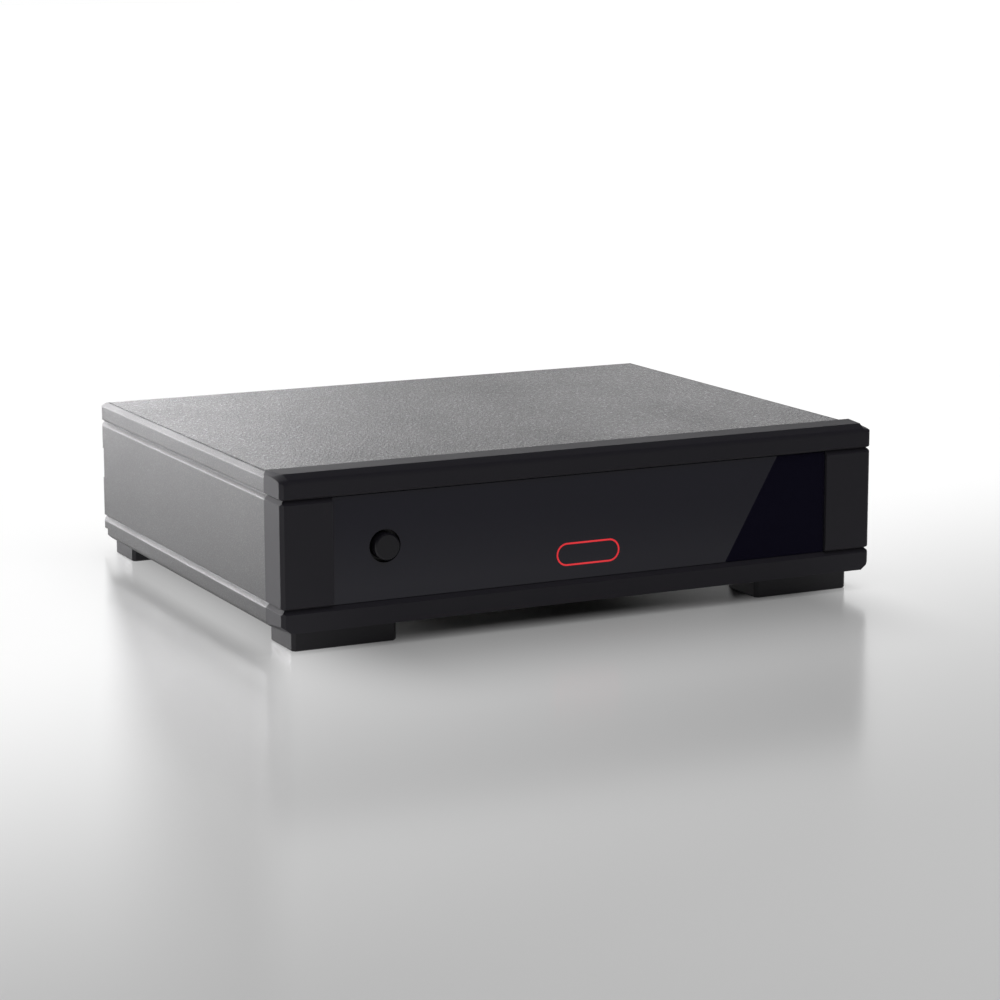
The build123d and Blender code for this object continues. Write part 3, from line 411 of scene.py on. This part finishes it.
metal("black_steel", (0.03, 0.03, 0.032), 0.38, 0.0003, metallic=0.6)
metal("zinc_steel", (0.62, 0.63, 0.65), 0.3, 0.0004)
metal("nickel", (0.66, 0.64, 0.6), 0.2, 0.0004)
metal("gold_plate", (0.88, 0.66, 0.28), 0.2, 0.0003)
metal("anodised_sink", (0.05, 0.05, 0.055), 0.42, 0.0004, metallic=0.5)
metals = [name for name, made in finishes.items() if made.shader.inputs["Metallic"].default_value]
print("metals", metals)

# %% [markdown]
# ## Circuit board
#
# The circuit board is glass fibre under green solder mask. Its copper tracks
# stand up a little under the mask and look paler, and bare pads are tinned.
# Copper could be drawn as a mesh, track by track. A brick pattern gives long
# broken bands in one node, which is enough for a board that the lid covers.

# %% Circuit board
def board_finish():
    """Green mask over raised tracks, with tinned pads at the middles of a random packing."""
    board = Finish("board_green")
    flat = board.node("ShaderNodeCombineXYZ", None, board.x, board.y, 0.0)
    bricks = {"Vector": flat, "Scale": 60.0, "Mortar_Size": 0.012}
    tracks = board.node("ShaderNodeTexBrick", None, take="Fac", **bricks)
    weave = board.noise(0.0006, detail=0.0, stretch=(1.0, 0.3, 1.0))
    pads = board.node("ShaderNodeTexVoronoi", None, Vector=flat, Scale=180.0)
    tinned = pads < 0.1
    mask = board.mix(tracks * 0.6, (0.012, 0.09, 0.035), (0.03, 0.2, 0.08))
    colour = board.mix(tinned, mask, (0.7, 0.7, 0.68))
    relief = board.relief(tracks + 0.1 * weave, 0.00003)
    board.set(Base_Color=colour, Roughness=0.25 + 0.1 * weave, Metallic=tinned * 0.9, Normal=relief)


board_finish()
print("board nodes", len(finishes["board_green"].tree.nodes))

# %% [markdown]
# ## Resistors
#
# A metal film resistor is a blue lacquered body with tinned ends, and narrow
# bands that tell its value. Each band could be a ring of its own. A colour
# ramp with hard steps along the body paints all of them on all the resistors,
# which lie side by side.

# %% Resistors
resistor_ends = (-0.0309, -0.0243)
blue, tin, brown = (0.1, 0.25, 0.45), (0.6, 0.6, 0.6), (0.35, 0.1, 0.03)
black, orange = (0.02, 0.02, 0.02), (0.6, 0.35, 0.05)
resistor_bands = [
    (0.0, tin), (0.06, blue), (0.2, brown), (0.27, blue), (0.42, black),
    (0.5, blue), (0.7, orange), (0.78, blue), (0.95, tin),
]


def banded_resistors():
    """Blue lacquer with narrow colour bands round each body."""
    lacquer = Finish("resistor_blue")
    along = lacquer.between(lacquer.y, *resistor_ends, curve="LINEAR")
    bands = lacquer.node("ShaderNodeValToRGB", {"stops": resistor_bands}, along)
    lumps = lacquer.noise(0.001)
    lacquer.set(Base_Color=bands, Roughness=0.3 + 0.1 * lumps, Normal=lacquer.relief(lumps, 0.00002))


banded_resistors()
print("resistor bands", len(resistor_bands))

# %% [markdown]
# ## Capacitors and the lamp's light guide
#
# A reservoir capacitor is an aluminium can in a dark shrink sleeve, with a pale
# stripe down its negative side and a bare top. The parts could be separate
# meshes, but the way that the surface faces tells them apart. The film
# capacitors' red boxes and the pale light guide are plain mouldings.

# %% Capacitors and light guide
stripe_facing = -0.85
top_facing = 0.7


def capacitor_sleeve():
    """Shrink sleeve with a pale stripe down one side and a bare aluminium top."""
    sleeve = Finish("capacitor_sleeve")
    normal = sleeve.node("ShaderNodeNewGeometry", take="Normal")
    facing = sleeve.node("ShaderNodeSeparateXYZ", None, normal)
    stripe = facing < stripe_facing
    top = facing.output("Z") > top_facing
    wrinkles = sleeve.noise(0.002, stretch=(1.0, 1.0, 0.3))
    sides = sleeve.mix(stripe, (0.02, 0.025, 0.06), (0.55, 0.55, 0.55))
    colour = sleeve.mix(top, sides, (0.6, 0.6, 0.6))
    relief = sleeve.relief(wrinkles, 0.00003)
    sleeve.set(Base_Color=colour, Metallic=top * 0.9, Roughness=0.28 + 0.1 * wrinkles, Normal=relief)


capacitor_sleeve()
moulded("film_red", (0.38, 0.05, 0.035), 0.0008, 0.00004, 0.3, 0.0002)
moulded("clear_guide", (0.75, 0.76, 0.78), 0.0005, 0.00001, 0.15, 0.0001)
print("finishes", len(finishes))

# %% [markdown]
# ## Socket insulators
#
# A pair of phono sockets is told apart by the colour of its insulators, red
# for the right channel and white for the left. The block behind the panel is
# one black moulding, so the colour is a function of the place: it starts at
# the panel, in an upright strip round each socket's axis. Separate rings would
# do as well, but they would cover the moulding with coincident faces.
# The places come from the boxes of the CAD nodes.

# %% Socket insulators
socket_pitch = 0.019
nozzle_reach = 0.006
nozzle_start = 0.0005


def middle(node):
    """The middle of a CAD node's box."""
    low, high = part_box(node)
    return [(a + b) / 2 for a, b in zip(low, high)]


panel_face_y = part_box("rear_panel")[1][1]
socket_z = middle("input_left_shell")[2]
pair_middles = [middle(block)[0] for block in ("input_socket_block", "output_socket_block")]
right_sockets = [x - socket_pitch / 2 for x in pair_middles]
left_sockets = [x + socket_pitch / 2 for x in pair_middles]


def socket_plastic():
    """Black moulding whose nozzles are red round the right axes and white round the left."""
    nylon = Finish("socket_plastic")
    grain = nylon.noise(0.0004)
    outside = nylon.y > panel_face_y - nozzle_start

    def near(axes):
        first, second = [abs(nylon.x - axis) < nozzle_reach for axis in axes]
        return (first + second) * outside

    black = nylon.mix(grain * 0.5, (0.03, 0.03, 0.032), (0.05, 0.05, 0.052))
    red = nylon.mix(near(right_sockets), black, (0.5, 0.02, 0.015))
    colour = nylon.mix(near(left_sockets), red, (0.75, 0.74, 0.7))
    relief = nylon.relief(grain, 0.00001, edge_radius=0.0001)
    nylon.set(Base_Color=colour, Roughness=0.32 + 0.1 * grain, Normal=relief)


socket_plastic()
print("sockets: right", right_sockets, "left", left_sockets)

# %% [markdown]
# ## Every CAD node gets its finish
#
# Each node could be dressed by hand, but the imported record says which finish
# it has, so one loop is enough. Only the two socket mouldings take another
# finish than the record's, for their coloured nozzles.

# %% Dress the CAD nodes
own_finish = {"input_socket_block": "socket_plastic", "output_socket_block": "socket_plastic"}
for subpart in frame["record"]["subparts"]:
    piece = frame["nodes"][subpart["node"]]
    finish = finishes[own_finish.get(subpart["node"], subpart["material_slot"])]
    if not piece.material_slots:
        piece.data.materials.append(None)
    for place in piece.material_slots:
        place.material = finish.material

# %% [markdown]
# ## Return spring of the power switch
#
# A small coil spring round the plunger pushes the button back. The CAD's spring
# is rigid, and the plunger would cut through it when the button goes in. A
# wire coil of the same size stands for it, and the share of its length that
# it would keep with the button fully in is printed. A curve with a round bevel
# could draw the coil, but a grid of wire and turn angles gives the same surface
# with closed ends.

# %% Switch spring
coil_turns = 4.0
coil_wire = 0.0005


def tube_faces(rows, sides, closed=False):
    """Quads between neighbouring rows of points; the last row meets the first, or both get a cap."""
    row, column = np.meshgrid(np.arange(rows if closed else rows - 1), np.arange(sides), indexing="ij")
    here, there = row * sides, (row + 1) % rows * sides
    beside = (column + 1) % sides
    quads = np.stack([here + column, here + beside, there + beside, there + column], axis=2)
    caps = [] if closed else [range(sides), range((rows - 1) * sides, rows * sides)]
    return quads.reshape(-1, 4).tolist() + [list(cap) for cap in caps]


def wire_coil(low, high, steps=160, sides=12):
    """Points and faces of a coil along Y that fills the box from low to high.

    The wire's middle is (R cos t, y0 + rise t, R sin t). Its skin lies w / 2
    away from there, at (cos a) r + (sin a) n, where r points away from the
    coil's axis and n is square to r and to the wire.
    """
    radius = (high[0] - low[0] - coil_wire) / 2
    rise = (high[1] - low[1] - coil_wire) / (2 * math.pi * coil_turns)
    lean = math.atan2(rise, radius)
    t = np.linspace(0.0, 2 * math.pi * coil_turns, steps)[:, None]
    a = np.linspace(0.0, 2 * math.pi, sides, endpoint=False)[None, :]
    outward = radius + coil_wire / 2 * np.cos(a)
    square = coil_wire / 2 * np.sin(a)
    x = (low[0] + high[0]) / 2 + outward * np.cos(t) + square * np.sin(t) * math.sin(lean)
    y = low[1] + coil_wire / 2 + rise * t + square * math.cos(lean)
    z = (low[2] + high[2]) / 2 + outward * np.sin(t) - square * np.cos(t) * math.sin(lean)
    return np.stack([x, y, z], axis=2).reshape(-1, 3), tube_faces(steps, sides)


def solid_piece(name, points, faces, material, body, slot_name):
    """A closed piece from arrays, with its faces turned outwards, riding on a CAD body."""
    mesh = bpy.data.meshes.new(name)
    mesh.from_pydata(points.tolist(), [], faces)
    piece = bpy.data.objects.new(name, mesh)
    bpy.context.scene.collection.objects.link(piece)
    turner = bmesh.new()
    turner.from_mesh(mesh)
    bmesh.ops.recalc_face_normals(turner, faces=turner.faces)
    turner.to_mesh(mesh)
    turner.free()
    mesh.materials.append(material)
    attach(piece, body)
    return piece


def switch_coil():
    """The return spring as a wire coil in place of the CAD's; prints the share of its length it would keep at the
    end of the button's travel.
    """
    low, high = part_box("switch_spring")
    steel = finishes["zinc_steel"].material
    coil = solid_piece("switch_coil", *wire_coil(low, high), steel, "chassis", "zinc_steel")
    coil.data.shade_smooth()
    press = next(joint for joint in frame["joints"] if joint["name"] == "power_button_slide")
    seat_y = press["deforming_nodes"][0]["fixed_end_y_m"]
    keep = 1.0 - press["range_m"][1] / (seat_y - low[1])
    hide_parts("switch_spring")
    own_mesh(coil)
    print("coil keeps", round(keep, 3), "of its length,", len(coil.data.polygons), "faces")


switch_coil()

# %% [markdown]
# ## Printed marks on the rear panel
#
# The rear panel is screen printed: a thin frame round each pair of sockets, an
# earth symbol by the ground terminal and a polarity symbol by the DC inlet.
# Ink stands up from the paint by a few hundredths of a millimetre and catches
# the light along its edges. A texture could draw the lines, but their edges
# would be as soft as its pixels. Each line here is a thin closed band that is
# swept along a path, so it stays sharp at any distance. There is no lettering.

# %% Ink
def panel_ink():
    """Pale grey ink, slightly uneven where the mesh of the screen was."""
    ink = Finish("panel_ink")
    mesh = ink.noise(0.0002, detail=1.0)
    patches = ink.noise(0.003)
    colour = ink.mix(mesh * 0.6 + 0.3 * patches, (0.42, 0.42, 0.4), (0.6, 0.6, 0.57))
    ink.set(Base_Color=colour, Roughness=0.45 + 0.2 * mesh, Normal=ink.relief(mesh, 0.000005))
    return ink.material


ink_material = panel_ink()
print("ink nodes", len(finishes["panel_ink"].tree.nodes))

# %% [markdown]
# ## Lines of ink
#
# A line is a rectangle of ink carried along a path. A bevelled curve would
# round its section and sink half of it into the panel. Here the path is moved
# to both sides along its normal and then up by the ink's height, and the four
# rows of points are joined by quads.

# %% Bands along a path
ink_height = 0.00004
ink_line = 0.0004


def swept_band(path, width, closed):
    """Points and faces of a band of this width along a path p(t) on the panel.

    Its two sides are p + n w / 2 and p - n w / 2, where n is the path's unit
    normal, and its section is a rectangle from the panel's face to the ink's height.
    """
    path = np.asarray(path, dtype=float)
    if closed:
        way = np.roll(path, -1, axis=0) - np.roll(path, 1, axis=0)
    else:
        way = np.gradient(path, axis=0)
    way /= np.linalg.norm(way, axis=1)[:, None]
    normal = np.stack([-way[:, 1], way[:, 0]], axis=1)
    across = np.array([-0.5, 0.5, 0.5, -0.5])[None, :, None] * width
    flat = path[:, None, :] + normal[:, None, :] * across
    height = panel_face_y + np.array([0.0, 0.0, 1.0, 1.0]) * ink_height
    depth = np.broadcast_to(height, flat.shape[:2])
    points = np.stack([flat[..., 0], depth, flat[..., 1]], axis=2).reshape(-1, 3)
    return points, tube_faces(len(path), len(height), closed)


def circle_path(middle, radius, start=0.0, end=2 * math.pi, steps=64):
    """(x0 + r cos t, z0 + r sin t) for t from start to end."""
    whole = math.isclose(end - start, 2 * math.pi)
    t = np.linspace(start, end, steps, endpoint=not whole)
    return np.stack([middle[0] + radius * np.cos(t), middle[1] + radius * np.sin(t)], axis=1)


def straight_path(start, end):
    """(1 - t) a + t b for a few t from 0 to 1."""
    t = np.linspace(0.0, 1.0, 4)[:, None]
    return (1 - t) * np.array(start) + t * np.array(end)


def frame_path(middle, half, power=9.0, steps=240):
    """Superellipse |x / a|^n + |z / b|^n = 1: a frame whose corners are smoothly rounded."""
    t = np.linspace(0.0, 2 * math.pi, steps, endpoint=False)
    x = half[0] * np.sign(np.cos(t)) * np.abs(np.cos(t)) ** (2 / power)
    z = half[1] * np.sign(np.sin(t)) * np.abs(np.sin(t)) ** (2 / power)
    return np.stack([middle[0] + x, middle[1] + z], axis=1)


def printed(name, lines):
    """One ink object from (path, width, closed) lines."""
    points, faces = [], []
    for path, width, closed in lines:
        more_points, more_faces = swept_band(path, width, closed)
        shift = sum(len(p) for p in points)
        points.append(more_points)
        faces += [tuple(v + shift for v in face) for face in more_faces]
    solid_piece(name, np.concatenate(points), faces, ink_material, "chassis", "white_plastic")
    print(name, "lines", len(lines), "faces", len(faces))


print("ink lines", ink_line, "m wide and", ink_height, "m high")

# %% [markdown]
# ## Frames round the socket pairs
#
# A frame with rounded corners shows which sockets belong together. Straight
# runs with four arcs would need their ends matched. A superellipse is one
# smooth formula, nearly straight along its sides and round at its corners.

# %% Socket frames
pair_half = (0.0185, 0.0098)
for name, pair_x in zip(("input_frame", "output_frame"), pair_middles):
    printed(name, [(frame_path((pair_x, socket_z), pair_half), ink_line, True)])

# %% [markdown]
# ## Earth symbol
#
# Three bars that get shorter downwards, under a stem: the sign for a ground
# terminal. The bars come from one list of half-lengths and drops, so that a
# bar can be moved without touching the others.

# %% Earth symbol
earth_rise = 0.0105
earth_bars = [(0.0026, 0.0), (0.0017, -0.0011), (0.0008, -0.0022)]
stem_length = 0.003
earth_x, earth_z = middle("ground_stud")[0], middle("ground_stud")[2] + earth_rise
ends = [((earth_x, earth_z + ink_line / 2), (earth_x, earth_z + stem_length))]
for half, down in earth_bars:
    ends.append(((earth_x - half, earth_z + down), (earth_x + half, earth_z + down)))
printed("earth_symbol", [(straight_path(start, end), ink_line, False) for start, end in ends])

# %% [markdown]
# ## Polarity symbol
#
# The sign over a DC inlet tells that the pin is positive: a minus and a plus,
# each in a ring, are joined to the sleeve and the pin of a small socket drawn
# between them. It is made of circles and straight lines, with the lines kept
# just clear of each other so that no two bands of ink cover the same place.

# %% Polarity symbol
polarity_rise = 0.0118
polarity_ring = 0.0014
polarity_step = 0.0048
arc_opening = 0.9
thin_line = 0.7 * ink_line
dot_line = 0.98 * ink_line
dot_clear = 1.1 * ink_line
plus_clear = 0.36 * ink_line
inlet_x, polarity_z = middle("dc_inlet_pin")[0], middle("dc_inlet_pin")[2] + polarity_rise


def polarity_symbol():
    """Minus in a ring, an open arc round a dot, plus in a ring, joined by short lines."""
    low, high = inlet_x - polarity_step, inlet_x + polarity_step
    centre = (inlet_x, polarity_z)
    reach = polarity_ring + ink_line / 2
    arm = 0.5 * polarity_ring
    rings = [(circle_path((x, polarity_z), polarity_ring), thin_line, True) for x in (low, high)]
    sleeve = circle_path(centre, polarity_ring, arc_opening, 2 * math.pi - arc_opening)
    dot = circle_path(centre, ink_line / 2, steps=24)
    spans = [(low + reach, inlet_x - reach), (inlet_x + dot_clear, high - reach)]
    spans += [(x - arm, x + arm) for x in (low, high)]
    paths = [straight_path((start, polarity_z), (end, polarity_z)) for start, end in spans]
    for side in (-1, 1):
        near_end, far_end = polarity_z + side * plus_clear, polarity_z + side * arm
        paths.append(straight_path((high, near_end), (high, far_end)))
    return rings + [(dot, dot_line, True)] + [(path, thin_line, False) for path in [sleeve] + paths]


printed("polarity_symbol", polarity_symbol())

# %% [markdown]
# ## Studio
#
# Black paint is shown by what it reflects. The camera looks along the lid at a
# shallow angle, so the lid mirrors whatever stands behind the case, the left
# rail mirrors what stands behind and to the left, and the front mirrors the
# floor before it. The studio is therefore bright behind and dark elsewhere.
#
# The dome is the first part of it: a dim sky that brightens low down at the
# rear. It is dark overhead, so that the front's rounded brow ends in a crisp
# dark line where it turns down. A panorama of a real studio wrapped round the
# scene would also do, but a formula is easier to shift by a few degrees.

# %% Dome light
dome_bright = 1.15
dome_dim = 0.03
dome_top = (0.35, 0.6)
dome_rear = (-0.15, 0.55)
bright_way = Vector((-0.35, 0.94, 0.05)).normalized()


def dome_light():
    """White for the camera and in glass; other rays meet a dome that is brightest along bright_way.

    Share is 1 low down at the rear, and falls to 0 over dome_top and dome_rear.
    There the dome is the white background, as mirrors and metal show it, and
    elsewhere it is dim: share + (1 - share) * (dim + bright * share) for a
    mirror-like ray, and dim + bright * share for a diffuse one.
    """
    world = bpy.data.worlds.new("studio_dome")
    world.use_nodes = True
    bpy.context.scene.world = world
    dome = Graph(world.node_tree, "ShaderNodeOutputWorld")
    way = dome.node("ShaderNodeTexCoord", take="Generated")
    dot = {"operation": "DOT_PRODUCT"}
    along = dome.node("ShaderNodeVectorMath", dot, way, bright_way, take="Value")
    up = dome.node("ShaderNodeSeparateXYZ", None, way).output("Z")
    share = dome.between(up, *dome_top, 1.0, 0.0) * dome.between(along, *dome_rear)
    rays = dome.node("ShaderNodeLightPath", take="Is Camera Ray")
    white = rays + rays.output("Is Transmission Ray") + rays.output("Is Glossy Ray") * share
    strength = white + (1.0 - white) * (dome_dim + dome_bright * share)
    dome.show(dome.node("ShaderNodeBackground", None, (1.0, 1.0, 1.0), strength))


dome_light()
print("dome from", dome_dim, "to", dome_dim + dome_bright)

# %% [markdown]
# ## Softboxes behind the case
#
# Two glowing cards stand behind the case, where the lid and the left rail
# mirror them. They could be area lamps, but a card's glow can vary from place
# to place, which gives the lid its slow change of tone from corner to corner.
# The camera looks through them. They spare the floor, by light linking, since
# glossy paper would show their outlines.

# %% Glowing cards
def stage_mesh(name, points, faces):
    """A stage object from arrays of points and faces."""
    mesh = bpy.data.meshes.new(name)
    mesh.from_pydata(points, [], faces)
    sheet = bpy.data.objects.new(name, mesh)
    bpy.context.scene.collection.objects.link(sheet)
    return sheet


def glowing(name, level):
    """Material that only shines; level(graph) gives its strength from the place."""
    glow = Finish(name)
    glow.set(Base_Color=(0.0, 0.0, 0.0), Specular_IOR_Level=0.0, Roughness=1.0)
    glow.set(Emission_Color=glow.tinted(level(glow), (0.99, 0.98, 1.0)), Emission_Strength=1.0)
    clear = glow.node("ShaderNodeBsdfTransparent")
    glow.show(glow.node("ShaderNodeAddShader", None, glow.look, clear))
    return glow.material


def only_mirrored(sheet):
    """Leave a stage object to reflections: no shadow, and unseen by the camera and diffuse rays."""
    sheet.visible_camera = sheet.visible_diffuse = sheet.visible_shadow = False


def card(name, left, right, low, high, level):
    """An upright glowing card from one place on the floor to another, low to high above it."""
    corners = [(*left, low), (*right, low), (*right, high), (*left, high)]
    sheet = stage_mesh(name, corners, [(0, 1, 2, 3)])
    sheet.data.materials.append(glowing(name + "_glow", level))
    only_mirrored(sheet)
    return sheet


print("card maker:", card.__name__)

# %% [markdown]
# ## Glow of the two cards
#
# The lid mirrors the back card and the rail's side mirrors the side card. Their
# glow is a product of ramps across and up, so each ramp sets one change of
# tone: the lid's left to right, its back to front, and the rail's rear to
# front. The rail's bevel mirrors the back card near its top edge, which is dim.
# An image would do as well, but each ramp here can be moved by itself.

# %% Softboxes
back_y = 0.38


def back_level(glow):
    """Strongest at the left, weakest a little right of the middle, and dimmer towards its top edge."""
    slanted = glow.x + glow.between(glow.z, 0.11, 0.15, -0.04, 0.04)
    left_part = glow.between(slanted, 0.01, 0.14, 8.8, 1.0)
    right_part = glow.between(slanted, 0.16, 0.28, 0.0, 1.5)
    low_part = glow.between(glow.z, 0.16, 0.11, 0.7, 1.25)
    top_part = glow.between(glow.z, 0.25, 0.15, 0.25, 1.0)
    return (left_part + right_part) * (low_part * top_part)


def side_level(glow):
    """A little stronger at its right end, which the front of the rail mirrors, and low down."""
    return glow.between(glow.x, -0.45, -0.3, 7.8, 10.6) * glow.between(glow.z, 0.2, 0.06, 0.25, 1.0)


softboxes = [
    card("back_softbox", (-0.5, back_y), (0.45, back_y), 0.1, 0.3, back_level),
    card("side_softbox", (-0.85, 0.25), (-0.2, back_y), 0.0, 0.2, side_level),
]
print("softboxes", [sheet.name for sheet in softboxes])

# %% [markdown]
# ## Overhead lamp
#
# One square lamp overhead lights the floor, the feet and the inside of the
# grooves. A card could glow there too, but a lamp gives the same soft light
# with less grain, and can be kept out of every reflection.

# %% Overhead lamp
def soft_lamp(name, place, aim, size, power):
    """A square lamp that lights the floor and shows in no reflection."""
    lamp = bpy.data.lights.new(name, "AREA")
    lamp.size = size
    lamp.energy = power
    holder = bpy.data.objects.new(name, lamp)
    bpy.context.scene.collection.objects.link(holder)
    holder.location = place
    holder.rotation_euler = (Vector(aim) - Vector(place)).to_track_quat("-Z", "Y").to_euler()
    holder.visible_glossy = False
    print(name, power, "W over", size, "m square")


soft_lamp("overhead_lamp", place=(0.1, -0.4, 0.75), aim=(0.0, -0.15, 0.0), size=0.8, power=3.2)

# %% [markdown]
# ## Dark card before the fascia
#
# Polished acrylic shows what stands in front of it as a mirror does. A black
# card with one slanted side stands just before the right end of the fascia,
# below the camera's view line, and the fascia mirrors its slanted edge as a
# crisp diagonal. A dark patch painted on the fascia would stay put when the
# view moves, as no reflection does. Only mirror-like rays meet the card, so the
# moulding beside the fascia and the floor below do not darken.

# %% Dark card in front of the fascia
card_y = -0.100
card_edge = ((0.0827, 0.05), (0.0541, 0.0))
card_right = 0.1


def dark_card():
    """A black card with one slanted side that only mirror-smooth surfaces show."""
    (top_x, top_z), (low_x, low_z) = card_edge
    outline = [(low_x, low_z), (card_right, low_z), (card_right, top_z), (top_x, top_z)]
    sheet = stage_mesh("dark_card", [(x, card_y, z) for x, z in outline], [(0, 1, 2, 3)])
    black = Finish("dark_card_black")
    mirrored = black.node("ShaderNodeLightPath", take="Is Singular Ray")
    clear = black.node("ShaderNodeBsdfTransparent")
    black.set(Base_Color=(0.002, 0.002, 0.002), Roughness=1.0, Specular_IOR_Level=0.0)
    black.show(black.node("ShaderNodeMixShader", None, mirrored, clear, black.look))
    sheet.data.materials.append(black.material)
    only_mirrored(sheet)


dark_card()
print("dark card's slanted side from x", card_edge[1][0], "to", card_edge[0][0])

# %% [markdown]
# ## Shade on the floor
#
# The floor's light comes mostly from a wide wall behind, and the case keeps it
# off the paper before its front, off a wedge on its near left, and most of all
# out of the gap under it. A large lamp low behind the case would cast the same
# shade, but it would also flood the lid. So each patch of shade is a mask: a
# product of soft ramps over the floor's places.

# %% Shade masks
rail_left, rail_front, rail_rear = -0.09, -0.077, 0.067
rear_slope, front_slope = -0.332, 0.4
rear_edge, front_edge = (-0.02, 0.09), (-0.004, 0.01)
wedge_near, wedge_far = (-0.45, -0.2), (0.068, 0.06)
foot_corner_y = -0.054
light_slant = 0.48


def soft_box(paper, left, right, front, back):
    """1 inside a rectangle; each of its edges is soft between two places, the outer one first."""
    across = paper.between(paper.x, *left) * paper.between(paper.x, *right)
    return across * paper.between(paper.y, *front) * paper.between(paper.y, *back)


def front_shade(paper):
    """1 under the case and at its front, 0 some 75 mm before it."""
    return soft_box(paper, (-0.1, -0.055), (0.095, 0.065), (-0.147, -0.072), (0.08, 0.05))


def under_case(paper):
    """1 in the gap under the case, but less where light slips in beside the front right foot."""
    gap = soft_box(paper, (-0.085, -0.03), (0.09, 0.08), (-0.073, -0.064), (0.08, 0.05))
    by_foot = paper.between(paper.x - light_slant * (paper.y - foot_corner_y), 0.0555, 0.058)
    return gap * paper.larger(paper.between(paper.x, 0.064, 0.01), by_foot)


def left_wedge(paper):
    """1 between two lines that leave the left rail's corners towards the near left.

    The rear corner's line is (x - left) / (rear - y) = rear_slope, so its soft
    edge widens like a fan with the distance from the corner.
    """
    fan = (paper.x - rail_left) / paper.larger(rail_rear - paper.y, 0.001) - rear_slope
    beside = rail_left - paper.x - front_slope * paper.larger(rail_front - paper.y, 0.0)
    fading = paper.between(paper.y, *wedge_near) * paper.between(paper.y, *wedge_far)
    return paper.between(fan, *rear_edge) * paper.between(beside, *front_edge) * fading


print("shade masks:", front_shade.__name__, under_case.__name__, left_wedge.__name__)

# %% [markdown]
# ## Floor
#
# The floor is a sheet of semi-gloss white paper, so that it mirrors the case
# softly. The wide wall behind is stood in for by a glow of the paper itself,
# full behind and at the left, fading towards the camera, and dimmed by the
# masks above.

# %% Floor
floor_reach = 6.0
wall_way = (-0.326, 0.945)
wall_fade = (-0.25, 0.02)
paper_dim, paper_bright = 0.055, 0.45
front_depth, wedge_depth = 0.82, 0.62


def floor_sheet():
    """A square sheet at z = 0 that glows more towards the back and left, and less in the shade."""
    corners = np.array([(-1, -1, 0), (1, -1, 0), (1, 1, 0), (-1, 1, 0)]) * floor_reach
    sheet = stage_mesh("floor_sheet", corners.tolist(), [(0, 1, 2, 3)])
    paper = Finish("floor_paper")
    behind = wall_way[0] * paper.x + wall_way[1] * paper.y
    lit = paper_dim + paper_bright * paper.between(behind, *wall_fade)
    shaded = (1.0 - front_depth * front_shade(paper)) * (1.0 - wedge_depth * left_wedge(paper))
    glow = lit * shaded * (1.0 - under_case(paper))
    white = paper.mix(paper.noise(0.4), (0.64, 0.64, 0.64), (0.68, 0.68, 0.68))
    paper.set(Base_Color=white, Roughness=0.18, IOR=1.5)
    paper.set(Emission_Color=paper.tinted(glow, (1.0, 1.0, 1.0)), Emission_Strength=1.0)
    sheet.data.materials.append(paper.material)
    return sheet


def spare(floor, cards):
    """These cards light everything but the floor."""
    spared = bpy.data.collections.new("spared_floor")
    spared.objects.link(floor)
    spared.collection_objects[0].light_linking.link_state = "EXCLUDE"
    for sheet in cards:
        sheet.light_linking.receiver_collection = spared


spare(floor_sheet(), softboxes)
print("floor reaches", floor_reach, "m each way")
